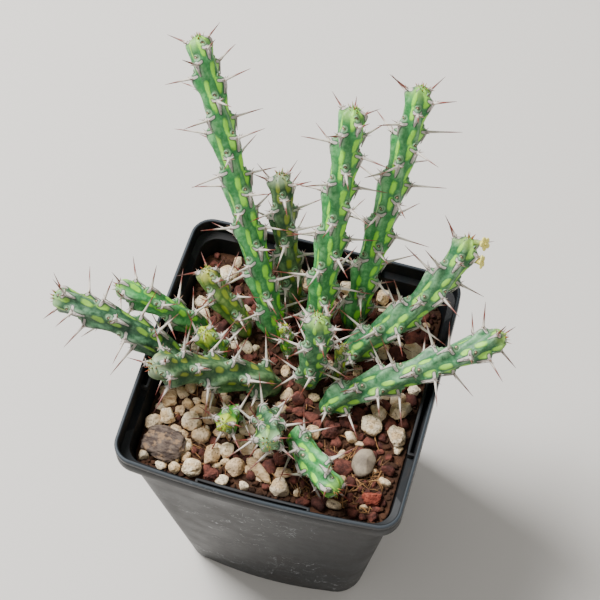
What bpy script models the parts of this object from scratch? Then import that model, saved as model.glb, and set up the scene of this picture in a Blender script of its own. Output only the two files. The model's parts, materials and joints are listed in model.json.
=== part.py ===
"""A potted euphorbia: a clump of five-ribbed, spiny stems in a square plastic nursery pot.

The origin is the centre of the pot's underside, +Z is up and the pot's front is towards -Y.
"""

import math
import random
from collections import namedtuple

import bmesh
import bpy
import numpy as np
from mathutils import Matrix, Vector, noise

MM = 0.001
GAP = 0.3 * MM

# Pot: a tapered square shell with a collar and a lip
POT_HEIGHT = 105 * MM
RIM_HALF = 45 * MM
BASE_HALF = 32 * MM
WALL = 1.3 * MM
FLOOR = 1.8 * MM
COLLAR_HEIGHT = 7.5 * MM
COLLAR_STEP = 2.4 * MM
EDGE = 0.8 * MM
BASE_CORNER = 10 * MM
RIM_CORNER = 7 * MM
FRONT_BOW = 1.8 * MM
SIDE_BOW = 0.4 * MM
CORNER_STEPS = 3
SIDE_STEPS = 4
DRAIN_RADIUS = 3.5 * MM
DRAIN_PLACE = 14 * MM

# Upright strips inside the lip, one to a side, with ends that turn out to the collar
STRIP_HALF = 18 * MM
STRIP_WALL = 1.0 * MM
STRIP_TOP = POT_HEIGHT - 3.5 * MM
STRIP_FOOT = POT_HEIGHT - 6.6 * MM
STRIP_INSET = 2.7 * MM

# Substrate, filling the pot to below its collar
SOIL_TOP = 92 * MM
SOCKET_DEPTH = 9 * MM
SOCKET_SIDES = 10
GRIT_COUNT = 36
GRIT_RADIUS = (1.6 * MM, 3.0 * MM)
GRIT_STRETCH = 1.15
GRIT_SINK = 0.25
GRIT_TRIES = 4000

# Stems: ribs, teeth and the spiral that the teeth stand on
RIBS = 5
SIDES = 2 * RIBS
TOOTH_STEP = 2.6 * MM
YOUNG_STEP = 0.8
TURN_PER_TOOTH = 152.0
RIB_DRIFT = TURN_PER_TOOTH - 2 * 360 / RIBS
FULL_RADIUS = 5 * MM
FURROW = 0.72
CREST = 0.07
NOTCH_DEPTH = 0.7
NOTCH_SHARE = 0.2
RISE = 9 * MM
NECK_LENGTH = 6 * MM
FIRST_TOOTH = 3 * MM
CROWN_DEPTH = 0.8
TAPER = (1.04, -0.12)

# Spines: one stout spine at each tooth
SPINE_LENGTH = 11 * MM
SPINE_RADIUS = 0.55 * MM
SPINE_ROOT = 1.9 * MM
SPINE_SAMPLES = 14
SPINE_LEANS = (0.1, -0.25, 0.45, 0.9, -0.7)
SPINE_SWINGS = (0.0, 0.35, -0.35, 0.8, -0.8)
SPINE_CUTS = (1.0, 0.75, 0.5)
BODY_CLEARANCE = 0.9 * MM
SPINE_CLEARANCE = 1.5 * MM

# Each stem stands in the soil at root, rises, bends by its knee and ends at its tip, in mm
Stem = namedtuple("Stem", "name root knee tip radius turn colour")
GREEN, DARK_GREEN, YOUNG_GREEN = (0.11, 0.32, 0.12), (0.05, 0.16, 0.07), (0.22, 0.46, 0.06)
STEMS = (
    Stem("stem_tall_left", (-10, 15), (-23, 30, 137), (-45, 59, 181), 4.7, 20, GREEN),
    Stem("stem_back_dark", (-7, 27), (-11, 31, 122), (-15, 41, 147), 4.4, 50, DARK_GREEN),
    Stem("stem_tall_centre", (3, 17), (4, 30, 137), (5, 50, 176), 5.0, 0, GREEN),
    Stem("stem_tall_right", (13, 25), (18, 37, 135), (22, 62, 177), 4.7, 35, GREEN),
    Stem("stem_flowering", (14, 13), (37, 20, 116), (45, 40, 138), 5.0, 10, GREEN),
    Stem("stem_low_right", (13, -5), (41, 5, 113), (62, 19, 122), 4.9, 60, GREEN),
    Stem("stem_front", (7, -19), (14, -31, 103), (25, -37, 105), 4.8, 25, GREEN),
    Stem("head_front", (-4, -16), (0, -24, 108), (2, -33, 118), 5.0, 40, GREEN),
    Stem("head_front_left", (-15, -17), (-14, -23, 101), (-14, -26, 108), 4.2, 12, YOUNG_GREEN),
    Stem("stem_thick_left", (-6, -3), (-32, -13, 110), (-38, -19, 121), 5.8, 15, DARK_GREEN),
    Stem("stem_far_left", (-33, -6), (-40, -9, 122), (-73, -7, 126), 4.8, 55, GREEN),
    Stem("stem_upper_left", (-32, 9), (-45, 1, 121), (-57, 4, 122), 4.3, 5, GREEN),
    Stem("stem_back_left", (-20, 14), (-30, 16, 108), (-33, 19, 118), 4.4, 30, GREEN),
    Stem("head_left", (-25, 2), (-27, 1, 105), (-28, 0, 113), 4.5, 65, YOUNG_GREEN),
    Stem("stem_centre", (5, 2), (8, 2, 114), (7, 6, 130), 5.0, 45, GREEN),
    Stem("shoot_green", (-4, 9), (-4, 9, 104), (-5, 9, 112), 2.4, 0, YOUNG_GREEN),
    Stem("shoot_olive", (14, 4), (14, 5, 102), (14, 8, 111), 2.4, 30, YOUNG_GREEN),
)

# Flower heads: distance below the tip of their stem, and the way they face
Bloom = namedtuple("Bloom", "name below facing")
BLOOM_STEM = "stem_flowering"
BLOOMS = (
    Bloom("bloom_upper", 1.2, (0.62, 0.22, 0.75)),
    Bloom("bloom_lower", 7.5, (0.67, 0.30, 0.55)),
)
STALK_RADIUS = 0.9 * MM
STALK_LENGTH = 1.4 * MM
CUP_RADII = (0.8 * MM, 1.3 * MM)
CUP_HEIGHT = 1.6 * MM
GLANDS = 5
GLAND_SIZE = (0.85 * MM, 0.65 * MM, 0.4 * MM)
BLOOM_REACH = 2.6 * MM

# Loose pieces on the soil: centre, half sizes and turn, in mm and degrees
Stone = namedtuple("Stone", "name place half turn colour")
PUMICE, LAVA = (0.58, 0.48, 0.32), (0.17, 0.06, 0.05)
BARK, TAN = (0.14, 0.10, 0.08), (0.42, 0.27, 0.14)
STONES = (
    Stone("pumice_1", (-21.8, -36.8, 93.5), (3.4, 2.9, 2.6), 10, PUMICE),
    Stone("pumice_2", (6.5, -35.5, 93.0), (3.4, 2.9, 2.6), 0, PUMICE),
    Stone("pumice_3", (28.0, -8.0, 94.0), (4.1, 3.2, 2.8), -15, PUMICE),
    Stone("pumice_4", (36.5, -9.5, 94.0), (3.2, 3.7, 2.8), 20, PUMICE),
    Stone("pumice_5", (35.5, -0.5, 94.0), (3.9, 3.3, 2.7), 35, PUMICE),
    Stone("pumice_6", (-34.5, -22.0, 93.5), (3.1, 2.7, 2.5), 5, PUMICE),
    Stone("pumice_7", (-26.5, -21.5, 93.5), (3.2, 3.2, 2.6), -20, PUMICE),
    Stone("pumice_8", (-3.0, 37.0, 93.5), (4.6, 3.8, 2.9), 30, PUMICE),
    Stone("pumice_9", (25.5, 33.0, 93.5), (4.0, 4.3, 2.8), 0, PUMICE),
    Stone("pumice_10", (-31.0, 32.0, 93.5), (3.6, 3.2, 2.6), 45, PUMICE),
    Stone("pumice_11", (-9.0, -33.0, 93.2), (3.6, 2.8, 2.5), 60, PUMICE),
    Stone("grey_stone", (29.0, -21.0, 94.0), (3.6, 4.6, 2.4), -10, (0.25, 0.22, 0.18)),
    Stone("lava_bright", (34.5, -31.5, 93.8), (3.1, 2.4, 2.5), 15, (0.36, 0.08, 0.05)),
    Stone("lava_1", (18.5, -22.0, 93.2), (3.0, 2.8, 2.4), 0, LAVA),
    Stone("lava_2", (16.5, -13.5, 93.2), (2.9, 2.4, 2.3), 40, LAVA),
    Stone("lava_3", (-14.9, -37.0, 92.8), (2.9, 2.2, 2.3), 25, LAVA),
    Stone("bark_slab", (-32.4, -31.8, 94.2), (6.7, 5.4, 2.0), -12, BARK),
    Stone("bark_chip", (-36.3, -15.0, 93.2), (2.6, 3.8, 1.2), 25, TAN),
    Stone("wood_chip", (-1.5, -32.0, 93.4), (5.4, 1.7, 1.1), -35, TAN),
)
FLAT_PIECES = ("bark_slab", "bark_chip", "wood_chip")
STONE_ROUGHNESS = 0.16

POT_COLOUR = (0.008, 0.009, 0.010)
SOIL_COLOUR = (0.045, 0.022, 0.012)
BLOOM_COLOUR = (0.74, 0.66, 0.16)


def clear_scene():
    for obj in list(bpy.data.objects):
        bpy.data.objects.remove(obj, do_unlink=True)
    for group in list(bpy.data.collections):
        bpy.data.collections.remove(group)


def new_collection(name):
    group = bpy.data.collections.new(name)
    bpy.context.scene.collection.children.link(group)
    return group


def make_material(name, colour, roughness):
    material = bpy.data.materials.new(name)
    material.use_nodes = True
    shader = material.node_tree.nodes["Principled BSDF"]
    shader.inputs["Base Color"].default_value = (*colour, 1)
    shader.inputs["Roughness"].default_value = roughness
    shader.inputs["Metallic"].default_value = 0
    return material


def make_object(name, bm, group, material=None):
    """An object from a bmesh, with its faces turned outwards."""
    bmesh.ops.recalc_face_normals(bm, faces=bm.faces)
    mesh = bpy.data.meshes.new(name)
    bm.to_mesh(mesh)
    bm.free()
    if material:
        mesh.materials.append(material)
    obj = bpy.data.objects.new(name, mesh)
    group.objects.link(obj)
    return obj


def unite(obj, group, solver="MANIFOLD"):
    """Joins all that the group holds to the object, then removes the group."""
    join = obj.modifiers.new("Join", "BOOLEAN")
    join.operation = "UNION"
    join.operand_type = "COLLECTION"
    join.collection = group
    join.solver = solver
    graph = bpy.context.evaluated_depsgraph_get()
    joined = bpy.data.meshes.new_from_object(obj.evaluated_get(graph))
    obj.modifiers.remove(join)
    obj.data = joined
    for piece in list(group.objects):
        bpy.data.objects.remove(piece, do_unlink=True)
    bpy.data.collections.remove(group)


def cut(obj, group):
    """Cuts what the group holds out of the object, as a live modifier."""
    cutting = obj.modifiers.new("Cut", "BOOLEAN")
    cutting.operation = "DIFFERENCE"
    cutting.operand_type = "COLLECTION"
    cutting.collection = group
    for cutter in group.objects:
        cutter.hide_render = True
        cutter.display_type = "WIRE"


def loft(rings):
    """A closed bmesh through rings of equally many points, filled at both ends."""
    bm = bmesh.new()
    loops = []
    for points in rings:
        loop = bmesh.ops.create_circle(bm, segments=len(points), radius=MM)["verts"]
        for vert, point in zip(loop, points):
            vert.co = point
        loops.append(loop)
    for low, high in zip(loops, loops[1:]):
        for i in range(len(low)):
            bm.faces.new((low[i - 1], low[i], high[i], high[i - 1]))
    bm.faces.new(loops[0])
    bm.faces.new(loops[-1])
    return bm


# The pot and its substrate


def wall_half(z):
    """Half the outer width of the tapered wall at height z."""
    top = RIM_HALF - COLLAR_STEP
    return BASE_HALF + (top - BASE_HALF) * z / (POT_HEIGHT - COLLAR_HEIGHT)


def bow_out(point, middle):
    """Moves a point of a side outwards by that side's bow, which fades towards the corners."""
    for axis, other in ((0, 1), (1, 0)):
        bow = FRONT_BOW if axis == 1 and point.y < 0 else SIDE_BOW
        belly = max(0.0, 1 - (point[other] / middle) ** 2)
        if abs(point[axis]) > middle:
            point[axis] += math.copysign(bow * belly, point[axis])
    return point


def pot_ring(z, half, inset=0.0):
    """The rounded square at height z, moved inwards by inset, with its sides bowed."""
    corner = BASE_CORNER + (RIM_CORNER - BASE_CORNER) * z / POT_HEIGHT - inset
    half = half - inset
    middle = half - corner
    points = []
    for quarter in range(4):
        turned = Matrix.Rotation(quarter * math.pi / 2, 4, "Z")
        for i in range(CORNER_STEPS + 1):
            angle = math.pi / 2 * i / CORNER_STEPS
            corner_point = (middle + corner * math.cos(angle), middle + corner * math.sin(angle), z)
            points.append(turned @ Vector(corner_point))
        for i in range(1, SIDE_STEPS):
            along = middle * (1 - 2 * i / SIDE_STEPS)
            points.append(turned @ Vector((along, half, z)))
    return [bow_out(point, middle) for point in points]


def pot_levels():
    """Heights, half widths and insets of the pot's profile, up its outside and down its inside."""
    collar_foot = POT_HEIGHT - COLLAR_HEIGHT
    ledge = collar_foot + WALL
    return (
        (0.0, BASE_HALF - EDGE, 0.0),
        (EDGE, wall_half(EDGE), 0.0),
        (collar_foot, wall_half(collar_foot), 0.0),
        (collar_foot + EDGE, RIM_HALF, 0.0),
        (POT_HEIGHT - EDGE / 2, RIM_HALF, 0.0),
        (POT_HEIGHT, RIM_HALF, EDGE / 2),
        (POT_HEIGHT, RIM_HALF, WALL - EDGE / 4),
        (POT_HEIGHT - EDGE, RIM_HALF, WALL),
        (ledge + EDGE, RIM_HALF, WALL),
        (ledge, wall_half(ledge), WALL),
        (FLOOR, wall_half(FLOOR), WALL),
    )


def strip_piece(side, group):
    """One upright strip: a U in plan that stands on the ledge, its ends turned out into the collar."""
    face = RIM_HALF - WALL - STRIP_INSET
    back = RIM_HALF - WALL / 2
    near = [(0, face), (STRIP_HALF - EDGE, face), (STRIP_HALF, face + EDGE), (STRIP_HALF, back)]
    inner_half, inner_face = STRIP_HALF - STRIP_WALL, face + STRIP_WALL
    far = [(inner_half, back), (inner_half, inner_face), (0, inner_face)]
    half_plan = near + far
    plan = half_plan + [(-x, y) for x, y in reversed(half_plan[1:-1])]
    turned = Matrix.Rotation(side * math.pi / 2, 4, "Z")
    bm = bmesh.new()
    middle = RIM_HALF - RIM_CORNER
    outline = [bm.verts.new(bow_out(turned @ Vector((x, y, STRIP_FOOT)), middle)) for x, y in plan]
    raised = bmesh.ops.extrude_face_region(bm, geom=[bm.faces.new(outline)], use_keep_orig=True)["geom"]
    for vert in raised:
        if isinstance(vert, bmesh.types.BMVert):
            vert.co.z = STRIP_TOP
    make_object(f"strip_{side}", bm, group)


def make_pot(group):
    plastic = make_material("Black_polypropylene", POT_COLOUR, 0.38)
    bm = loft([pot_ring(z, half, inset) for z, half, inset in pot_levels()])
    pot = make_object("pot", bm, group, plastic)
    strips = new_collection("Strips")
    for side in range(4):
        strip_piece(side, strips)
    unite(pot, strips)
    drains = new_collection("Drain_cutters")
    for x in (-DRAIN_PLACE, DRAIN_PLACE):
        for y in (-DRAIN_PLACE, DRAIN_PLACE):
            bm = bmesh.new()
            place = Matrix.Translation((x, y, FLOOR / 2))
            bmesh.ops.create_cone(bm, cap_ends=True, segments=SOCKET_SIDES, radius1=DRAIN_RADIUS,
                                  radius2=DRAIN_RADIUS, depth=4 * FLOOR, matrix=place)
            make_object("drain", bm, drains)
    cut(pot, drains)
    return pot


def stone_mesh(stone, swell=0.0):
    """A worn stone or a flat chip: a round or boxy lump, uneven by noise, swollen for its pocket."""
    bm = bmesh.new()
    if stone.name in FLAT_PIECES:
        bmesh.ops.create_cube(bm, size=2)
        bmesh.ops.subdivide_edges(bm, edges=bm.edges, cuts=1, use_grid_fill=True)
        for vert in bm.verts:
            vert.co = vert.co.normalized() * vert.co.length ** 0.45
    else:
        bmesh.ops.create_icosphere(bm, subdivisions=2, radius=1)
    half = Vector(stone.half) * MM
    turned = Matrix.Rotation(math.radians(stone.turn), 3, "Z")
    for vert in bm.verts:
        bump = 1 + STONE_ROUGHNESS * noise.noise(vert.co * 1.3 + Vector(stone.place))
        shaped = Vector(a * b for a, b in zip(vert.co * bump, half))
        vert.co = Vector(stone.place) * MM + turned @ (shaped + shaped.normalized() * swell)
    return bm


def make_stones(group):
    for stone in STONES:
        material = make_material(stone.name.capitalize(), stone.colour, 0.9)
        make_object(stone.name, stone_mesh(stone), group, material)


def blocked(centre, radius, spines, keep_off):
    """True where a grain of grit would come near the wall, a loose piece, a stem or a spine."""
    middle = wall_half(SOIL_TOP) - RIM_CORNER
    past = [max(0.0, abs(value) - middle) for value in centre[:2]]
    if math.hypot(*past) + GRIT_STRETCH * radius > RIM_CORNER - WALL - 2 * GAP:
        return True
    if any(np.linalg.norm(centre[:2] - c[:2]) < r + radius + GAP for c, r in keep_off):
        return True
    for axis in AXES.values():
        beside_root = np.linalg.norm(centre[:2] - axis.points[0, :2]) < axis.radius + radius + GAP
        if beside_root or axis.distance(centre) < axis.radius + radius + 2 * GAP:
            return True
    return np.linalg.norm(np.concatenate(spines) - centre, axis=1).min() < radius + SPINE_CLEARANCE


def grit_places(spines):
    """Seeded places and sizes for the grit that is fused to the soil."""
    draw = random.Random(11)
    reach = wall_half(SOIL_TOP) - WALL
    keep_off = [(np.array(s.place) * MM, max(s.half) * MM) for s in STONES]
    places = []
    for _ in range(GRIT_TRIES):
        if len(places) == GRIT_COUNT:
            break
        radius = draw.uniform(*GRIT_RADIUS)
        height = SOIL_TOP + GRIT_SINK * radius
        centre = np.array([draw.uniform(-reach, reach), draw.uniform(-reach, reach), height])
        near_grit = any(np.linalg.norm(centre - c) < 0.9 * (r + radius) for c, r in places)
        if not near_grit and not blocked(centre, radius, spines, keep_off):
            places.append((centre, radius))
    return places


def make_substrate(group, spines):
    peat = make_material("Peat_and_lava_grit", SOIL_COLOUR, 0.95)
    levels = (FLOOR + GAP, SOIL_TOP)
    bm = loft([pot_ring(z, wall_half(z), WALL + GAP) for z in levels])
    soil = make_object("substrate", bm, group, peat)
    draw = random.Random(5)
    grit = new_collection("Grit")
    for centre, radius in grit_places(spines):
        bm = bmesh.new()
        bmesh.ops.create_icosphere(bm, subdivisions=1, radius=radius)
        wide, deep = draw.uniform(0.85, GRIT_STRETCH), draw.uniform(0.85, GRIT_STRETCH)
        high = draw.uniform(0.7, 1.0)
        squash = Matrix.Diagonal((wide, deep, high, 1))
        spin = Matrix.Rotation(draw.uniform(0, math.tau), 4, Vector((draw.random(), draw.random(), 1)))
        bmesh.ops.transform(bm, matrix=Matrix.Translation(Vector(centre)) @ squash @ spin, verts=bm.verts)
        make_object("grit", bm, grit)
    unite(soil, grit)
    sockets = new_collection("Socket_cutters")
    for axis in AXES.values():
        bm = bmesh.new()
        radius = (axis.neck + GAP) / math.cos(math.pi / SOCKET_SIDES)
        place = Matrix.Translation(Vector(axis.points[0]))
        bmesh.ops.create_cone(bm, cap_ends=True, segments=SOCKET_SIDES, radius1=radius, radius2=radius,
                              depth=2 * (SOCKET_DEPTH + GAP), matrix=place)
        make_object("socket", bm, sockets)
    for stone in STONES:
        make_object(f"pocket_{stone.name}", stone_mesh(stone, 1.5 * GAP), sockets)
    cut(soil, sockets)
    return soil


# The stems


def unit(vectors):
    return vectors / np.linalg.norm(vectors, axis=-1, keepdims=True)


class Axis:
    """The bent centre line of a stem above the soil, with a frame that is carried along it untwisted."""

    def __init__(self, stem, count=120):
        self.stem = stem
        self.radius = stem.radius * MM
        self.neck = FURROW * self.radius
        self.step = TOOTH_STEP * min(1.0, max(YOUNG_STEP, self.radius / (0.84 * FULL_RADIUS)))
        start = np.array([*stem.root, SOIL_TOP / MM]) * MM
        knots = start, start + (0, 0, RISE), np.array(stem.knee) * MM, np.array(stem.tip) * MM
        t = np.linspace(0, 1, count)[:, None]
        weights = (1 - t) ** 3, 3 * t * (1 - t) ** 2, 3 * t**2 * (1 - t), t**3
        self.points = sum(w * k for w, k in zip(weights, knots))
        self.tangents = unit(np.gradient(self.points, axis=0))
        side = np.array([1.0, 0.0, 0.0])
        sides = []
        for tangent in self.tangents:
            side = unit(side - tangent * (side @ tangent))
            sides.append(side)
        self.sides = np.array(sides)
        steps = np.linalg.norm(np.diff(self.points, axis=0), axis=1)
        self.run = np.concatenate([[0], np.cumsum(steps)])
        self.length = self.run[-1]
        teeth = np.arange(0, 120, 0.25)
        crowding = teeth - 2 * (1 - np.exp(-teeth / 2.5))
        self.tooth_numbers = teeth
        self.tooth_depths = self.step * crowding + MM * self.radius / FULL_RADIUS

    def frame(self, height):
        """Centre, tangent, side and front at a height along the stem, which is straight below the soil."""
        along = np.clip(height, 0, self.length)
        rows = np.hstack([self.points, self.tangents, self.sides])
        read = np.array([np.interp(along, self.run, column) for column in rows.T])
        centre, tangent, side = read[:3], unit(read[3:6]), read[6:]
        centre = centre + tangent * (height - along)
        side = unit(side - tangent * (side @ tangent))
        return centre, tangent, side, np.cross(tangent, side)

    def depth_of(self, tooth):
        """How far below the tip a tooth stands; the teeth crowd together in the crown."""
        return float(np.interp(tooth, self.tooth_numbers, self.tooth_depths))

    def teeth(self):
        """The numbers of the teeth, from the crown down to the first above the soil."""
        return [n for n in range(120) if self.depth_of(n) < self.length - FIRST_TOOTH]

    def outer(self, height):
        """The radius over the teeth at this height, without the crown's rounding."""
        share = min(max(height / self.length, 0.0), 1.0)
        neck = FURROW + (1 - FURROW) * min(max(height / NECK_LENGTH, 0.0), 1.0)
        return self.radius * neck * (TAPER[0] + TAPER[1] * share)

    def surface_radius(self, tooth, height, rib_share):
        """Distance from centre to skin; rib_share is an angle in ribs, whole on crests, half in furrows."""
        if height <= 0:
            return self.neck
        rib = round(rib_share)
        across = math.cos(math.pi * (rib_share - rib)) ** 2
        phase = ((-tooth + 3 * rib) / RIBS) % 1
        notch = phase / NOTCH_SHARE if phase < NOTCH_SHARE else (1 - phase) / (1 - NOTCH_SHARE)
        swell = 1 - NOTCH_DEPTH * notch
        relief = min(1.0, height / NECK_LENGTH)
        shape = FURROW + relief * across * (CREST + (1 - FURROW - CREST) * swell)
        depth = self.length - height
        crown = CROWN_DEPTH * self.radius
        cap = math.sqrt(max(0.0, 1 - (1 - depth / crown) ** 2)) if depth < crown else 1.0
        return self.outer(height) * shape * cap

    def tooth_frame(self, tooth):
        """Where a tooth's skin is, with the ways out, up and sideways there."""
        height = self.length - self.depth_of(tooth)
        centre, tangent, side, front = self.frame(height)
        angle = math.radians(self.stem.turn + TURN_PER_TOOTH * tooth)
        out = side * math.cos(angle) + front * math.sin(angle)
        skin = centre + out * self.surface_radius(tooth, height, 2 * tooth)
        return skin, out, tangent, np.cross(tangent, out)

    def distance(self, point):
        return np.linalg.norm(self.points - point, axis=-1).min()


AXES = {stem.name: Axis(stem) for stem in STEMS}


def stem_body(axis):
    """A sphere drawn out along the stem: its rings stand at the teeth and its poles are the two ends."""
    teeth = axis.teeth()
    stations = [(0, axis.length)] + [(n, axis.length - axis.depth_of(n)) for n in teeth]
    stations += [(teeth[-1] + 1, 0.0), (teeth[-1] + 1, -SOCKET_DEPTH), (teeth[-1] + 1, -SOCKET_DEPTH)]
    bm = bmesh.new()
    bmesh.ops.create_uvsphere(bm, u_segments=SIDES, v_segments=len(stations) - 1, radius=1)
    for vert in bm.verts:
        ring = round(vert.co.angle(Vector((0, 0, 1))) / math.pi * (len(stations) - 1))
        tooth, height = stations[ring]
        centre, _, side, front = axis.frame(height)
        if ring in (0, len(stations) - 1):
            vert.co = centre
            continue
        share = round(math.atan2(vert.co.y, vert.co.x) / math.tau * SIDES) / 2
        angle = math.radians(axis.stem.turn + share * 360 / RIBS + RIB_DRIFT * tooth)
        radius = axis.surface_radius(tooth, height, share)
        vert.co = centre + (side * math.cos(angle) + front * math.sin(angle)) * radius
    return bm


def clear_of_pot(points):
    """Above the lip, well inside the walls, or well outside them."""
    reach = np.abs(points[:, :2]).max(axis=1)
    strip_face = RIM_HALF - WALL - STRIP_INSET - STRIP_WALL
    inside = reach < strip_face - SPINE_CLEARANCE
    outside = reach > RIM_HALF + FRONT_BOW + SPINE_CLEARANCE
    above = points[:, 2] > POT_HEIGHT + SPINE_CLEARANCE
    return bool((above | inside | outside).all())


def clear_of_rest(points, own, spheres, placed):
    """True where a spine's sample points miss the soil, the pot, other stems, blooms, stones and spines."""
    if points[:, 2].min() < SOIL_TOP + SPINE_CLEARANCE or not clear_of_pot(points):
        return False
    for axis in AXES.values():
        spread = np.linalg.norm(points[:, None] - axis.points[None], axis=2).min(axis=1)
        limit = axis.radius + BODY_CLEARANCE
        if axis is not own and spread.min() < limit:
            return False
        if axis is own and (spread[SPINE_SAMPLES // 2:] < axis.radius).any():
            return False
    if any(np.linalg.norm(points - centre, axis=1).min() < radius for centre, radius in spheres):
        return False
    if not placed:
        return True
    return np.linalg.norm(np.concatenate(placed)[None] - points[:, None], axis=2).min() > SPINE_CLEARANCE


def grow_spines(axis, spheres, placed):
    """The stem's spines as lines of sample points, each bent clear of all else, cut short or left off."""
    draw = random.Random(axis.stem.name)
    spines = []
    for tooth in axis.teeth():
        skin, out, up, across = axis.tooth_frame(tooth)
        young = math.exp(-tooth / 3)
        length = SPINE_LENGTH * min(1.0, axis.radius / FULL_RADIUS + 0.1) * (1 - 0.45 * young)
        length *= draw.uniform(0.85, 1.1)
        lean, swing = draw.gauss(0, 0.12) + 0.7 * young, draw.gauss(0, 0.12)
        tries = [(cut_to, a, b) for cut_to in SPINE_CUTS for a in SPINE_LEANS for b in SPINE_SWINGS]
        for cut_to, more_lean, more_swing in tries:
            way = unit(out + up * (lean + more_lean) + across * (swing + more_swing))
            share = np.linspace(0, 1, SPINE_SAMPLES)[:, None]
            points = skin + way * length * cut_to * share
            if clear_of_rest(points, axis, spheres, placed):
                placed.append(points)
                spines.append((points, out))
                break
    return spines


def spine_needle(points, out, group):
    """A three-sided needle whose root is sunk in the stem."""
    root = points[0] - out * SPINE_ROOT
    way = unit(points[-1] - root)
    length = float(np.linalg.norm(points[-1] - root))
    turned = Vector((0, 0, 1)).rotation_difference(Vector(way)).to_matrix().to_4x4()
    place = Matrix.Translation(Vector(root + way * length / 2)) @ turned
    bm = bmesh.new()
    bmesh.ops.create_cone(bm, cap_ends=True, segments=3, radius1=SPINE_RADIUS * 1.15, radius2=0,
                          depth=length, matrix=place)
    make_object("needle", bm, group)


def bloom_frame(bloom):
    """The skin of the flowering stem where a flower head stands, and the way it faces."""
    axis = AXES[BLOOM_STEM]
    height = axis.length - bloom.below * MM
    centre, tangent, _, _ = axis.frame(height)
    facing = unit(np.array(bloom.facing))
    out = unit(facing - tangent * (facing @ tangent) * 0.7)
    crown = CROWN_DEPTH * axis.radius
    cap = math.sqrt(max(0.0, 1 - (1 - bloom.below * MM / crown) ** 2)) if bloom.below * MM < crown else 1.0
    return centre + out * axis.outer(height) * 0.9 * cap, out


def facing_matrix(place, out):
    turned = Vector((0, 0, 1)).rotation_difference(Vector(out)).to_matrix().to_4x4()
    return Matrix.Translation(Vector(place)) @ turned


def add_stalk(bloom, group):
    """The short green stalk of a flower head, with its root sunk in the stem."""
    skin, out = bloom_frame(bloom)
    depth = SPINE_ROOT + STALK_LENGTH
    place = facing_matrix(skin + out * (STALK_LENGTH - depth / 2), out)
    bm = bmesh.new()
    bmesh.ops.create_cone(bm, cap_ends=True, segments=6, radius1=STALK_RADIUS, radius2=STALK_RADIUS,
                          depth=depth, matrix=place)
    make_object("stalk", bm, group)


def make_bloom(bloom, group, material):
    """A cup that opens outwards, with five glands spread round its mouth and a boss of stamens."""
    skin, out = bloom_frame(bloom)
    place = facing_matrix(skin + out * (STALK_LENGTH + GAP), out)
    bm = bmesh.new()
    bmesh.ops.create_cone(bm, cap_ends=True, segments=2 * GLANDS, radius1=CUP_RADII[0], radius2=CUP_RADII[1],
                          depth=CUP_HEIGHT, matrix=place @ Matrix.Translation((0, 0, CUP_HEIGHT / 2)))
    head = make_object(bloom.name, bm, group, material)
    parts = new_collection("Bloom_parts")
    lobes = [(CUP_RADII[1], i * math.tau / GLANDS, GLAND_SIZE) for i in range(GLANDS)]
    lobes.append((0.0, 0.0, (0.75 * MM, 0.75 * MM, 0.6 * MM)))
    for reach, angle, size in lobes:
        bm = bmesh.new()
        bmesh.ops.create_icosphere(bm, subdivisions=1, radius=1)
        lobe = Matrix.Rotation(angle, 4, "Z") @ Matrix.Translation((reach, 0, CUP_HEIGHT))
        bmesh.ops.transform(bm, matrix=place @ lobe @ Matrix.Diagonal((*size, 1)), verts=bm.verts)
        make_object("lobe", bm, parts)
    unite(head, parts)
    return head


def make_stems(group):
    """Every stem with its spines fused to it; returns the spines' sample points."""
    spheres = [(np.array(s.place) * MM, max(s.half) * MM + SPINE_CLEARANCE) for s in STONES]
    for bloom in BLOOMS:
        skin, out = bloom_frame(bloom)
        spheres.append((skin + out * BLOOM_REACH, BLOOM_REACH + SPINE_CLEARANCE))
    placed = []
    for axis in AXES.values():
        skin = make_material(f"Skin_of_{axis.stem.name}", axis.stem.colour, 0.55)
        body = make_object(axis.stem.name, stem_body(axis), group, skin)
        needles = new_collection("Needles")
        for points, out in grow_spines(axis, spheres, placed):
            spine_needle(points, out, needles)
        if axis.stem.name == BLOOM_STEM:
            for bloom in BLOOMS:
                add_stalk(bloom, needles)
        unite(body, needles)
    return placed


def main():
    clear_scene()
    plant = new_collection("Potted_euphorbia")
    make_pot(plant)
    spines = make_stems(plant)
    make_substrate(plant, spines)
    make_stones(plant)
    petals = make_material("Cyathium_yellow", BLOOM_COLOUR, 0.6)
    for bloom in BLOOMS:
        make_bloom(bloom, plant, petals)


main()
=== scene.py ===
"""The looks of a potted euphorbia: ribbed, spiny stems, gritty soil and a square nursery pot.

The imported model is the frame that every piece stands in. Lengths are in metres, the pot's front is
towards -Y, and each length named in millimetres is multiplied by MM.
"""

import json
import math
import random
from collections import namedtuple

import bmesh
import bpy
import numpy as np
from bpy.props import FloatProperty, FloatVectorProperty, IntProperty, PointerProperty
from mathutils import Matrix, Vector, noise

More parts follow.
